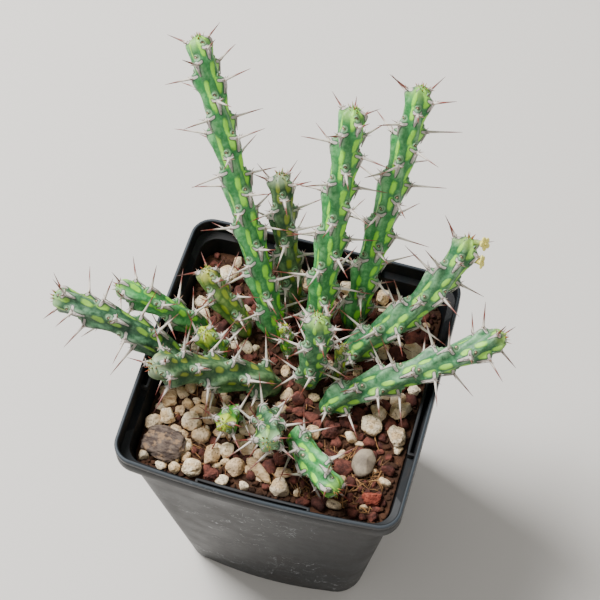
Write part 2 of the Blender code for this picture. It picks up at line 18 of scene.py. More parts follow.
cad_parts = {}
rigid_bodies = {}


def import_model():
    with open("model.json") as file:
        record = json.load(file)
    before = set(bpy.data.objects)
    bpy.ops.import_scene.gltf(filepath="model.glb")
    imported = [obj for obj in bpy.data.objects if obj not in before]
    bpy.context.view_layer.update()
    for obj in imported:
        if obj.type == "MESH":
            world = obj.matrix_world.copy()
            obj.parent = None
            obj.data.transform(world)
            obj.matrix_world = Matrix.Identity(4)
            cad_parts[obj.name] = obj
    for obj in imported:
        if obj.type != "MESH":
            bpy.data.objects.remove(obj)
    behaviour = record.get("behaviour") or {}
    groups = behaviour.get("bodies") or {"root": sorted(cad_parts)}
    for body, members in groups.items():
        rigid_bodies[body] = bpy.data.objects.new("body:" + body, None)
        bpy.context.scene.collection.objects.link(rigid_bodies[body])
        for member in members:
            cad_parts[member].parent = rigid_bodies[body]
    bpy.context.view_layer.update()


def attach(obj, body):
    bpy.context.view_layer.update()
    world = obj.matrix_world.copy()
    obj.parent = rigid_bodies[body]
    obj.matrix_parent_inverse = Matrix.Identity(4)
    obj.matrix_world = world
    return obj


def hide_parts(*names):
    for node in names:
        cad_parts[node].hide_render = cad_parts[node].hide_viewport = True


bl_info = {
    "name": "Potted euphorbia",
    "version": (1, 0, 0),
    "blender": (4, 5, 0),
    "location": "3D View > Sidebar > Euphorbia",
    "description": "Builds the stems, spines, flowers, stones, soil and pot of a potted euphorbia",
    "category": "Add Mesh",
}

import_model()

MM = 0.001
GAP = 0.3 * MM
ROOT_BODY = "root"

# The pot, as in the frame
POT_HEIGHT, RIM_HALF, BASE_HALF = 105 * MM, 45 * MM, 32 * MM
WALL, FLOOR, EDGE = 1.3 * MM, 1.8 * MM, 0.8 * MM
COLLAR_HEIGHT, COLLAR_STEP = 7.5 * MM, 2.4 * MM
BASE_CORNER, RIM_CORNER = 10 * MM, 7 * MM
FRONT_BOW, SIDE_BOW = 1.8 * MM, 0.4 * MM
STRIP_HALF, STRIP_WALL, STRIP_INSET = 18 * MM, 1.0 * MM, 2.7 * MM
STRIP_TOP, STRIP_FOOT = POT_HEIGHT - 3.5 * MM, POT_HEIGHT - 6.6 * MM
DRAIN_RADIUS, DRAIN_PLACE = 3.5 * MM, 14 * MM
# The rings of the lip: how far below the top and inside the rim they are, in mm, with a groove outside
LIP = ((2.2, 0.0), (2.0, 0.12), (1.8, 0.0), (0.5, 0.0), (0.15, 0.14), (0.0, 0.45), (0.0, 0.9), (0.15, 1.2),
       (0.5, 1.3))
# A face whose normal's share outwards is over this is outside, and under its opposite inside
FACING = 0.3
SHARP_ANGLE = math.radians(38)

# The soil and its sockets, and its lumps: height in mm and how often they come
SOIL_TOP = 92 * MM
SOCKET_DEPTH = 9 * MM
SOIL_LUMPS = ((0.7, 0.09), (0.45, 0.33), (0.25, 0.9))
SOIL_SINK = 0.2
SOIL_GRID = 150

# The stems' ribs, teeth and spiral
RIBS = 5
TOOTH_STEP = 2.6 * MM
YOUNG_STEP = 0.8
TURN_PER_TOOTH = 152.0
RIB_DRIFT = TURN_PER_TOOTH - 2 * 360 / RIBS
FULL_RADIUS = 5 * MM
STEP_RADIUS = 0.84 * FULL_RADIUS
FURROW = 0.72
RISE = 9 * MM
NECK_LENGTH = 6 * MM
FIRST_TOOTH = 3 * MM
MOST_TEETH = 120
CROWDING = 2.0, 2.5
CROWN_DEPTH = 0.8
TAPER = 1.04, -0.12
AXIS_POINTS = 120

# Only the looks have these notches and crests and a small knob under each spine: its share of the radius,
# and its shares of the teeth's spacing above and below the spine
NOTCH_SHARE = 0.2
FINE_NOTCH = 0.95
FINE_CREST = 0.04
KNOB = 0.2
KNOB_SHARES = 0.1, 0.3
# Lumps of the skin: spacing and height in mm
LUMPS = ((3.2, 0.2), (1.1, 0.06))
CROWN_RINGS = 9
# A mark further off than this is kept as this far, in mm or in a patch's own size
FAR = 4.0

# The spines; each tries these leans, swings and shorter lengths in turn until it is clear of the rest
SPINE_LENGTH = 11 * MM
SPINE_SAMPLES = 14
TIP_BACK = 0.15 * MM
SPINE_LEANS = (0.1, -0.25, 0.45, 0.9, -0.7)
SPINE_SWINGS = (0.0, 0.35, -0.35, 0.8, -0.8)
SPINE_CUTS = (1.0, 0.75, 0.5)
BODY_CLEARANCE = 0.9 * MM
SPINE_CLEARANCE = 1.5 * MM
# The parts of a horny shield: sideways, outward and upward shares of their way, and their breadth
SHIELD_PARTS = (("arm", 0.95, -0.33, 0.3, 0.7), ("arm", -0.95, -0.33, 0.3, 0.7),
                ("tail", 0.0, -0.2, -1.0, 1.1))
SHIELD_THICKNESS = 0.3 * MM
PRICKLE_WIDTH = 0.2 * MM

# Each stem: root, knee and tip in mm, radius, turn, the finish of its skin and its patches' half length
Stem = namedtuple("Stem", "name root knee tip radius turn skin patch")
STEMS = [Stem(*row) for row in (
    ("stem_tall_left", (-10, 15), (-23, 30, 137), (-45, 59, 181), 4.7, 20, "green", 2.6),
    ("stem_back_dark", (-7, 27), (-11, 31, 122), (-15, 41, 147), 4.4, 50, "dark", 2.2),
    ("stem_tall_centre", (3, 17), (4, 30, 137), (5, 50, 176), 5.0, 0, "green", 2.6),
    ("stem_tall_right", (13, 25), (18, 37, 135), (22, 62, 177), 4.7, 35, "green", 2.6),
    ("stem_flowering", (14, 13), (37, 20, 116), (45, 40, 138), 5.0, 10, "bluish", 2.2),
    ("stem_low_right", (13, -5), (41, 5, 113), (62, 19, 122), 4.9, 60, "bluish", 2.0),
    ("stem_front", (7, -19), (14, -31, 103), (25, -37, 105), 4.8, 25, "green", 1.9),
    ("head_front", (-4, -16), (0, -24, 108), (2, -33, 118), 5.0, 40, "shaded", 1.9),
    ("head_front_left", (-15, -17), (-14, -23, 101), (-14, -26, 108), 4.2, 12, "young", 1.8),
    ("stem_thick_left", (-6, -3), (-32, -13, 110), (-38, -19, 121), 5.8, 15, "dark", 1.6),
    ("stem_far_left", (-33, -6), (-40, -9, 122), (-73, -7, 126), 4.8, 55, "shaded", 2.2),
    ("stem_upper_left", (-32, 9), (-45, 1, 121), (-57, 4, 122), 4.3, 5, "green", 2.0),
    ("stem_back_left", (-20, 14), (-30, 16, 108), (-33, 19, 118), 4.4, 30, "olive", 1.9),
    ("head_left", (-25, 2), (-27, 1, 105), (-28, 0, 113), 4.5, 65, "young", 1.8),
    ("stem_centre", (5, 2), (8, 2, 114), (7, 6, 130), 5.0, 45, "bluish", 2.0),
    ("shoot_green", (-4, 9), (-4, 9, 104), (-5, 9, 112), 2.4, 0, "young", 1.2),
    ("shoot_olive", (14, 4), (14, 5, 102), (14, 8, 111), 2.4, 30, "olive", 1.2),
)]

# Skin finishes: slot, waxy bloom, green under it, patches, the tip, and how strongly the patches show
Skin = namedtuple("Skin", "slot bloom deep patch tip strength")
SKINS = {
    "green": Skin("stem_green", "#7cc47c", "#2a7a3c", "#9aec44", "#8fbe52", 1.0),
    "bluish": Skin("stem_green", "#86bc88", "#27643a", "#9ee050", "#a8d060", 0.95),
    # The shaded skin is the green skin darkened: painted shade for stems that stand in shade
    "shaded": Skin("stem_green", "#64926a", "#173f26", "#8cc044", "#9cc084", 0.9),
    "olive": Skin("stem_young_green", "#9fb865", "#48702e", "#b4c840", "#aaa048", 0.9),
    "dark": Skin("stem_dark_green", "#70905f", "#1f4428", "#8e9c34", "#a0b08c", 0.85),
    "young": Skin("stem_young_green", "#8ed25e", "#348428", "#c0e83c", "#c4c83c", 0.85),
}
STEM_SLOTS = {"stem_back_left": "stem_green"}
# A bud scar in the skin: distance in shares of FAR, colour and strength
SCAR = ((0.0, "#d8b28a", 1.0), (0.06, "#c99c78", 1.0), (0.1, "#4a4a36", 0.9), (0.16, "#4f6448", 0.85),
        (0.22, "#8fb08a", 0.6), (0.3, "#8cae86", 0.35), (0.38, "#2f5638", 0.4), (0.5, "#2f5638", 0.0))

# Flower heads: distance below their stem's tip in mm, and the way they face
BLOOM_STEM = "stem_flowering"
BLOOMS = {"bloom_upper": (1.2, (0.62, 0.22, 0.75)), "bloom_lower": (7.5, (0.67, 0.30, 0.55))}
STALK_LENGTH, STALK_RADIUS, STALK_ROOT = 1.4 * MM, 0.85 * MM, 1.0 * MM
CUP_RADII, CUP_HEIGHT = (0.8 * MM, 1.3 * MM), 1.6 * MM
GLANDS, STAMENS = 5, 9
BLOOM_REACH = 2.6 * MM
# A gland, and the bract between two glands: turn, shares of the cup's rim and height, half sizes in mm, rise
RIM_LOBES = ((0.0, 1.0, 1.0, (0.95, 0.88, 0.42), 0.8), (0.5, 0.75, 0.9, (0.35, 0.5, 0.45), 0.5))

# Loose pieces: centre and half sizes in mm, turn in degrees, slot
Stone = namedtuple("Stone", "name place half turn slot")
STONES = [Stone(*row) for row in (
    ("pumice_1", (-21.8, -36.8, 93.5), (3.4, 2.9, 2.6), 10, "pumice"),
    ("pumice_2", (6.5, -35.5, 93.0), (3.4, 2.9, 2.6), 0, "pumice"),
    ("pumice_3", (28.0, -8.0, 94.0), (4.1, 3.2, 2.8), -15, "pumice"),
    ("pumice_4", (36.5, -9.5, 94.0), (3.2, 3.7, 2.8), 20, "pumice"),
    ("pumice_5", (35.5, -0.5, 94.0), (3.9, 3.3, 2.7), 35, "pumice"),
    ("pumice_6", (-34.5, -22.0, 93.5), (3.1, 2.7, 2.5), 5, "pumice"),
    ("pumice_7", (-26.5, -21.5, 93.5), (3.2, 3.2, 2.6), -20, "pumice"),
    ("pumice_8", (-3.0, 37.0, 93.5), (4.6, 3.8, 2.9), 30, "pumice"),
    ("pumice_9", (25.5, 33.0, 93.5), (4.0, 4.3, 2.8), 0, "pumice"),
    ("pumice_10", (-31.0, 32.0, 93.5), (3.6, 3.2, 2.6), 45, "pumice"),
    ("pumice_11", (-9.0, -33.0, 93.2), (3.6, 2.8, 2.5), 60, "pumice"),
    ("grey_stone", (29.0, -21.0, 94.0), (3.6, 4.6, 2.4), -10, "grey_stone"),
    ("lava_bright", (34.5, -31.5, 93.8), (3.1, 2.4, 2.5), 15, "bright_lava"),
    ("lava_1", (18.5, -22.0, 93.2), (3.0, 2.8, 2.4), 0, "lava"),
    ("lava_2", (16.5, -13.5, 93.2), (2.9, 2.4, 2.3), 40, "lava"),
    ("lava_3", (-14.9, -37.0, 92.8), (2.9, 2.2, 2.3), 25, "lava"),
    ("bark_slab", (-32.4, -31.8, 94.2), (6.7, 5.4, 2.0), -12, "bark"),
    ("bark_chip", (-36.3, -15.0, 93.2), (2.6, 3.8, 1.2), 25, "wood_chips"),
    ("wood_chip", (-1.5, -32.0, 93.4), (5.4, 1.7, 1.1), -35, "wood_chips"),
)]
FLAT_SLOTS = "bark", "wood_chips"
FLAT_ROUNDING = 0.45
STONE_ROUGHNESS = 0.16
# A stone's finish, how many chipped faces it has, and how near its centre they come, for the looks alone
STONE_KINDS = {
    "pumice": ("Tumbled_pumice", 8, (0.6, 0.95)),
    "lava": ("Crushed_lava", 12, (0.55, 0.92)),
    "bright_lava": ("Crushed_bright_lava", 12, (0.55, 0.92)),
    "grey_stone": ("Worn_grey_pebble", 5, (0.7, 0.95)),
    "bark": ("Weathered_bark", 7, (0.8, 1.05)),
    "wood_chips": ("Split_wood_chip", 5, (0.85, 1.05)),
}
CHIP_DEPTH = 0.85

# Smaller pebbles that only the looks have: place and size in mm, on the soil
PUMICE_PEBBLES = (
    (-38, -25, 2.6), (-31, -26.5, 2.4), (-21, -18, 2.9), (-22, -25.5, 2.8), (-17, -31, 2.9), (-27, -38, 2.0),
    (-13, -28, 2.4), (-7, -25.5, 2.5), (-3, -27, 2.2), (11, -15, 2.3), (29, -3, 2.6), (33.5, 3.5, 2.6),
    (-8, 38, 2.6), (20, 37.5, 3.0), (8, 38, 2.6), (34, 21, 2.8), (-36, 20, 2.6), (-37, 27, 2.3),
    (-17, -22.5, 2.0), (-28, -27, 2.1), (-11.5, -38, 2.0), (38, 8, 2.2), (13, 37, 2.0), (-20, 37, 2.4),
)
# Grains: how many, radii in mm, the stone they are chipped like and how many forms, finish, slot, seed, the
# part of the soil where they are thick (from and to in x and y, in mm) and the share kept elsewhere
Grit = namedtuple("Grit", "name count radii like forms finish slot seed thick elsewhere")
GRITS = [Grit(*row) for row in (
    ("pumice_grit", "pumice_count", (1.3, 2.8), "pumice", 5, "Tumbled_pumice", "pumice", 41,
     (-99, 0, -99, 0), 0.14),
    ("lava_grit", "lava_count", (1.2, 3.0), "lava", 6, "Crushed_lava", "lava", 43,
     (-5, 99, -99, 10), 0.5),
    ("peat_crumbs", "crumb_count", (0.6, 1.4), "lava", 6, "Moist_peat", "peat_and_grit", 47,
     (-99, 99, -99, 99), 1.0),
)]
FIBRE_THICK, FIBRE_ELSEWHERE = (8, 99, -99, -18), 0.12

# The view, fitted to the pot's corners, and the lights: place, size and the setting of their power
CAMERA_PLACE = (0.06625, -0.22261, 0.56312)
CAMERA_YAW, CAMERA_PITCH, CAMERA_ROLL = -0.278, 1.062, 0.003
CAMERA_LENS, SENSOR = 99.0, 36.0
LIGHTS = (("key", (-0.55, 0.2, 1.0), 0.42), ("fill", (0.5, -0.9, 0.7), 0.9))
LIGHT_AIM = Vector((0, 0, 0.1))
FLOOR_SIZE = 3


def linear(code):
    """An sRGB hex colour as linear red, green and blue."""
    channels = [int(code[i : i + 2], 16) / 255 for i in (1, 3, 5)]
    return tuple(c / 12.92 if c <= 0.04045 else ((c + 0.055) / 1.055) ** 2.4 for c in channels)


# Settings that a user would change


def length(name, description, default, **limits):
    """A size, whose default is given in mm."""
    return FloatProperty(name=name, description=description, default=default * MM, unit="LENGTH", **limits)


def amount(name, description, default, **limits):
    return IntProperty(name=name, description=description, default=default, **limits)


def tone(name, description, code):
    return FloatVectorProperty(name=name, description=description, default=linear(code), subtype="COLOR")


class EuphorbiaStemSettings(bpy.types.PropertyGroup):
    ring_step: length("Ring step", "Distance between rings of the skin", 0.4, min=0.2 * MM)
    columns: amount("Columns per rib", "Faces across one rib", 16, min=4)
    patch_width: length("Patch width", "Half width of a yellow-green patch", 0.92)
    patch_rise: length("Patch rise", "Height of a patch's middle over its spine", 4.5)
    patch_turn: FloatProperty(name="Patch turn", description="Angle between a patch and its rib",
                              default=math.radians(33), subtype="ANGLE")
    eye_rise: length("Bud rise", "Height of a bud scar over its spine", 1.9)
    eye_radius: length("Bud radius", "Radius of a bud scar", 0.8)


class EuphorbiaSpineSettings(bpy.types.PropertyGroup):
    radius: length("Spine radius", "Radius of a spine near its foot", 0.43)
    shield_arm: length("Shield arm", "Length of a shield's side arms", 1.8)
    shield_tail: length("Shield tail", "Length of a shield's tail down the rib", 4.4)
    shield_width: length("Shield width", "Half width of a shield's tail at its top", 0.62)
    crown_bits: amount("Crown scales", "Small scales in the middle of a crown", 11, min=0)
    prickle: length("Prickle length", "Length of the small prickles by a spine", 1.6)
    pale: tone("Spine foot", "Colour of the spines' pale lower half", "#d6ccc0")
    tip: tone("Spine tip", "Colour of the spines' outer half", "#763024")
    shield: tone("Shield", "Colour of the horny shields", "#c8c1b9")


class EuphorbiaGroundSettings(bpy.types.PropertyGroup):
    lava_count: amount("Lava grains", "Number of small lava grains", 330)
    pumice_count: amount("Pumice grains", "Number of small pumice grains", 125)
    crumb_count: amount("Peat crumbs", "Number of peat crumbs", 620)
    fibre_count: amount("Fibres", "Number of coir fibres", 420)
    peat: tone("Peat", "Colour of the moist peat", "#33231a")


class EuphorbiaPotSettings(bpy.types.PropertyGroup):
    corner_steps: amount("Corner steps", "Faces round a corner", 10, min=2)
    side_steps: amount("Side steps", "Faces along a side", 16, min=2)
    plastic: tone("Plastic", "Colour of the pot", "#16191c")


class EuphorbiaStageSettings(bpy.types.PropertyGroup):
    floor_colour: tone("Floor", "Colour of the plain floor", "#d8d4ce")
    key_power: FloatProperty(name="Key light", description="Power of the key light", default=27.0,
                             unit="POWER")
    fill_power: FloatProperty(name="Fill light", description="Power of the fill light", default=2.0,
                              unit="POWER")
    sky: FloatProperty(name="Sky", description="Strength of the plain surroundings", default=0.5)


def group(name):
    """The scene's settings of one kind, such as the pot's."""
    return getattr(bpy.context.scene, "euphorbia_" + name)


# Meshes


def unit(vectors):
    return vectors / np.linalg.norm(vectors, axis=-1, keepdims=True)


def as_mesh(name, bm):
    """A mesh of the bmesh, which is freed."""
    mesh = bpy.data.meshes.new(name)
    bm.to_mesh(mesh)
    bm.free()
    return mesh


def place_piece(name, bm, materials, replaced=()):
    """Makes a piece of the bmesh, at the origin, that rides on the root."""
    mesh = as_mesh(name, bm)
    for material in materials:
        mesh.materials.append(material)
    mesh.shade_smooth()
    piece = bpy.data.objects.new(name, mesh)
    bpy.context.scene.collection.objects.link(piece)
    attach(piece, ROOT_BODY)
    if replaced:
        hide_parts(*replaced)
    return piece


def store(mesh, name, values):
    """Keeps one number for each point of the mesh, for its material to read."""
    attribute = mesh.attributes.new(name, "FLOAT", "POINT")
    attribute.data.foreach_set("value", np.asarray(values, np.float32))


def positions(verts):
    return np.array([v.co for v in verts])


def round_bmesh(fineness):
    bm = bmesh.new()
    bmesh.ops.create_icosphere(bm, subdivisions=fineness, radius=1)
    return bm


def cone_bmesh(segments, tip, cuts=0, foot=0.0):
    """A cone one unit long on +Z from its foot, one unit wide there, and cut across into rings."""
    bm = bmesh.new()
    bmesh.ops.create_cone(bm, cap_ends=True, segments=segments, radius1=1, radius2=tip, depth=1,
                          matrix=Matrix.Translation((0, 0, foot + 0.5)))
    if cuts:
        sides = [e for e in bm.edges if abs(e.verts[0].co.z - e.verts[1].co.z) > 0.5]
        bmesh.ops.subdivide_edges(bm, edges=sides, cuts=cuts, use_grid_fill=True)
    return bm


class Stamp:
    """Adds copies of a few small meshes to one bmesh, each with its own numbers and material."""

    def __init__(self, *layers):
        self.bm = bmesh.new()
        self.layers = {name: self.bm.verts.layers.float.new(name) for name in layers}

    def add(self, template, matrix, material=0, **numbers):
        """Adds a copy and gives its verts; a number of None is the vert's own height in the template."""
        first_vert, first_face = len(self.bm.verts), len(self.bm.faces)
        self.bm.from_mesh(template)
        self.bm.verts.ensure_lookup_table()
        self.bm.faces.ensure_lookup_table()
        verts = self.bm.verts[first_vert:]
        for vert in verts:
            for name, value in numbers.items():
                vert[self.layers[name]] = vert.co.z if value is None else value
            vert.co = matrix @ vert.co
        for face in self.bm.faces[first_face:]:
            face.material_index = material
        return verts


def sized(x, y, z):
    return Matrix.Diagonal((x, y, z, 1))


def turn_to(direction, place=(0, 0, 0)):
    """A matrix that turns +Z to the direction and moves the origin to the place."""
    turned = Vector((0, 0, 1)).rotation_difference(Vector(direction)).to_matrix().to_4x4()
    return Matrix.Translation(Vector(place)) @ turned


def axes_matrix(x, y, z, place):
    return Matrix(((*x, 0), (*y, 0), (*z, 0), (*place, 1))).transposed()


# Materials


def add_node(tree, kind, inputs=(), out=0, **settings):
    """Adds a node with its settings and its inputs' values or links, and gives one of its outputs."""
    node = tree.nodes.new("ShaderNode" + kind)
    for name, value in settings.items():
        setattr(node, name, value)
    for key, value in inputs.items() if isinstance(inputs, dict) else enumerate(inputs):
        if isinstance(value, bpy.types.NodeSocket):
            tree.links.new(value, node.inputs[key])
        else:
            node.inputs[key].default_value = value
    return node.outputs[out] if node.outputs else None


def paint(colour):
    """A colour as a socket takes it: of a hex code, or of a setting, such as pot.plastic."""
    if not isinstance(colour, str):
        return colour
    if colour.startswith("#"):
        return (*linear(colour), 1.0)
    kind, key = colour.split(".")
    return (*getattr(group(kind), key), 1.0)


def pattern(tree, source):
    """What a layer reads: an attribute, an attribute with shares of others, or noise on Object coordinates.

    Noise is given by the size of its lumps in mm, its detail, roughness, offset, turn and stretch.
    """
    if isinstance(source, str):
        return add_node(tree, "Attribute", out="Fac", attribute_name=source)
    if isinstance(source[0], str):
        total = pattern(tree, source[0])
        for name, share in source[1:]:
            total = add_node(tree, "Math", (pattern(tree, name), share, total), operation="MULTIPLY_ADD")
        return total
    usual = (1.0, 3.0, 0.55, (0, 0, 0), 0.0, (1, 1, 1))
    size, detail, roughness, offset, turn, stretch = (*source, *usual[len(source) :])
    place = add_node(tree, "TexCoord", out="Object")
    moves = {"Vector": place, "Location": offset, "Rotation": (0, 0, turn), "Scale": stretch}
    moved = add_node(tree, "Mapping", moves)
    lumps = {"Vector": moved, "Scale": 0.5 / (size * MM), "Detail": detail, "Roughness": roughness}
    return add_node(tree, "TexNoise", lumps)


def coat(tree, colour, layers):
    """Lays colours over one another. A layer is what it reads, its ramp if it has one, and its colour.

    A ramp says where the layer starts, where it is full, and how strong it is there.
    """
    for source, *ramp, over in layers:
        share = source
        if ramp:
            start, full, strength = ramp
            limits = (source, start, full, 0.0, strength)
            share = add_node(tree, "MapRange", limits, interpolation_type="SMOOTHSTEP")
        colour = add_node(tree, "Mix", {0: share, 6: colour, 7: paint(over)}, 2, data_type="RGBA")
    return colour


def new_material(name):
    material = bpy.data.materials.new(name)
    material.use_nodes = True
    material.node_tree.nodes.clear()
    return material, material.node_tree


def shade(tree, colour, roughness, height=None, depth=0.0, sockets=None):
    """The shader and, where a height is given, a bump that is that many mm deep."""
    inputs = {"Base Color": colour, "Roughness": roughness, **(sockets or {})}
    if height is not None:
        inputs["Normal"] = add_node(tree, "Bump", {"Height": height, "Distance": depth * MM, "Strength": 1.0})
    add_node(tree, "OutputMaterial", {"Surface": add_node(tree, "BsdfPrincipled", inputs)})


SPECULAR = "Specular IOR Level"
# Patterns that the finishes read more than once
STREAKS = (0.5, 2)
CRACKS = (0.35, 4, 0.7)
SPOTS = (0.4, 3)
FINE_BUMPS = (0.3, 2)
PORES = (0.28, 3, 0.7, (0.1, 0.4, 0.2))
BLISTERS = (0.35, 3, 0.7, (0.2, 0.2, 0.5))
GRIT = (0.3, 3)
SHREDS = (0.5, 4, 0.7, (0.3, 0, 0))
INNER_DUST = (3.0, 5, 0.6)
BARK_FIBRES = (5 / 9, 6.0, 0.65, (0, 0, 0), 0.2, (0.4, 1.0, 0.8))
BARK_PATCHES = (1.6, 5, 0.65)
LAVA_CLOUDS = (1.2, 5, 0.65)
# A spine browns towards its tip, sooner on young spines and differently on each
SPINE_PLACE = ("along", ("tint", 0.25), ("young", 0.55))
BUD_PLACE = ("along", ("tint", 0.08))
SCALE_PLACE = ("along", ("tint", 0.6))

# Each finish: base colour, layers, roughness, relief, its depth in mm, the shader's other sockets, and the
# ramp that turns the relief into hollows
Finish = namedtuple("Finish", "base layers roughness relief depth sockets hollows", defaults=(None, None))
FINISHES = {
    # Dry horn: pale and matt at the foot, with a thin red-brown outer half that darkens to the point
    "Dry_spine_horn": Finish(
        "spines.pale", ((SPINE_PLACE, 0.525, 0.865, 1.0, "spines.tip"),
                        (SPINE_PLACE, 0.975, 1.375, 1.0, "#4a1f1c"),
                        (STREAKS, 0.4, 0.7, 0.25, "#9a8c80")), 0.45, STREAKS, 0.05),
    # Grown horn plate: chalky grey-white, cracked and a little browner in patches
    "Chalky_horn_shield": Finish("spines.shield", ((CRACKS, 0.42, 0.72, 1.0, "#8d8079"),), 0.7, CRACKS, 0.15),
    # Small dry prickles: dull brown horn
    "Brown_prickle_horn": Finish("#6a4a3c", (((0.4, 2), "#a58672"),), 0.55, (0.4, 2), 0.05),
    # Dormant bud: a warm cream eye in a dark brown ring on a dull green cushion
    "Dormant_bud_tissue": Finish(
        "#7ea27a", ((BUD_PLACE, 0.34, 0.59, 1.0, "#6c8c66"), (BUD_PLACE, 0.64, 0.76, 1.0, "#46402e"),
                    (BUD_PLACE, 0.92, 0.99, 1.0, "#dcb890")), 0.6, FINE_BUMPS, 0.05),
    # Young crown scales: thin green tissue that browns and reddens to its point
    "Young_crown_scale": Finish(
        "#8fb04a", ((SCALE_PLACE, 0.35, 1.1, 1.0, "#9a4a2c"),), 0.55, FINE_BUMPS, 0.05),
    # Soft nectar glands and bracts: matt yellow, greener at the foot
    "Soft_yellow_gland": Finish(
        "#dccf62", (("rise", 0.2, 0.9, 1.0, "#fff27a"), (SPOTS, 0.55, 0.8, 0.3, "#d8bc50")),
        0.55, SPOTS, 0.08, {"Subsurface Weight": 0.1}),
    # Young green stalk: soft and a little blotched
    "Green_stalk_tissue": Finish("#6d8f45", ((SPOTS, "#a8b85e"),), 0.55, SPOTS, 0.05),
    # Porous volcanic froth, tumbled: cream to tan, chalky, with its tiny pores darkened by painted shade
    "Tumbled_pumice": Finish(
        "#d6b88c", (((2.0, 4), 0.38, 0.6, 1.0, "#f4e2c2"), ("tint", 0.45, 1.0, 0.6, "#c29a6c"),
                    (PORES, 0.6, 0.68, 0.85, "#5e4836")), 0.92, PORES, 0.25, {SPECULAR: 0.2}, (0.72, 0.5)),
    # Crushed scoria: rough, blistered and rusty, darker in its hollows
    "Crushed_lava": Finish(
        "#40241f", ((LAVA_CLOUDS, 0.35, 0.65, 1.0, "#7a463a"), ("tint", 0.4, 1.0, 0.6, "#3a2320"),
                    (BLISTERS, 0.58, 0.72, 0.7, "#241412")), 0.85, BLISTERS, 0.35, {SPECULAR: 0.25}),
    # The same rock, freshly broken and brick red
    "Crushed_bright_lava": Finish(
        "#96402f", ((LAVA_CLOUDS, 0.35, 0.65, 1.0, "#cc664c"), ("tint", 0.4, 1.0, 0.6, "#3a2320"),
                    (BLISTERS, 0.58, 0.72, 0.7, "#241412")), 0.85, BLISTERS, 0.35, {SPECULAR: 0.25}),
    # Water-worn pebble: smooth, grey-tan, with faint veins
    "Worn_grey_pebble": Finish(
        "#6e6254", (((2.5, 5), 0.35, 0.65, 1.0, "#9a8c78"), (GRIT, 0.55, 0.75, 0.5, "#5f5248")),
        0.75, GRIT, 0.06),
    # Weathered bark: dull fibres with darker gaps between them and paler, fresher patches
    "Weathered_bark": Finish(
        "#453a35", ((BARK_FIBRES, 0.38, 0.62, 1.0, "#6e6056"), (BARK_PATCHES, 0.52, 0.62, 0.85, "#94785c")),
        0.88, BARK_FIBRES, 0.4, {SPECULAR: 0.2}),
    # Freshly split bark and wood: the same fibres, tan and clean
    "Split_wood_chip": Finish(
        "#8a6c4c", ((BARK_FIBRES, 0.38, 0.62, 1.0, "#c4a982"), (BARK_PATCHES, 0.52, 0.62, 0.85, "#d4bc96")),
        0.88, BARK_FIBRES, 0.4, {SPECULAR: 0.2}),
    # Moist peat and coir: very dark brown, crumbly, with paler shreds
    "Moist_peat": Finish(
        "ground.peat", (((3.0, 5, 0.65), 0.3, 0.7, 1.0, "#523626"), (SHREDS, 0.58, 0.75, 0.7, "#7d5838")),
        0.92, SHREDS, 0.5, {SPECULAR: 0.2}),
    # Coconut fibre: golden brown, dry and dull
    "Dry_coir_fibre": Finish("#4a2e1a", (("tint", "#a07446"),), 0.8, FINE_BUMPS, 0.05),
    # The pot's plastic inside, dulled by peat dust, so that it stays dark at a glancing view
    "Dusty_black_polypropylene": Finish(
        "pot.plastic", ((INNER_DUST, 0.45, 0.75, 0.3, "#3a2f29"),), 0.5, INNER_DUST, 0.03, {SPECULAR: 0.08}),
}


def finish(name):
    """The finish's material, made when the first piece asks for it."""
    if name in bpy.data.materials:
        return bpy.data.materials[name]
    kind = FINISHES[name]
    material, tree = new_material(name)
    sources = dict.fromkeys((kind.relief, *(layer[0] for layer in kind.layers)))
    made = {source: pattern(tree, source) for source in sources}
    colour = coat(tree, paint(kind.base), [(made[source], *rest) for source, *rest in kind.layers])
    height = made[kind.relief]
    if kind.hollows:
        limits = (height, *kind.hollows, 0.0, 1.0)
        height = add_node(tree, "MapRange", limits, interpolation_type="SMOOTHSTEP")
    shade(tree, colour, kind.roughness, height, kind.depth, kind.sockets)
    return material


# The stems' shape, by the same rules as the frame's


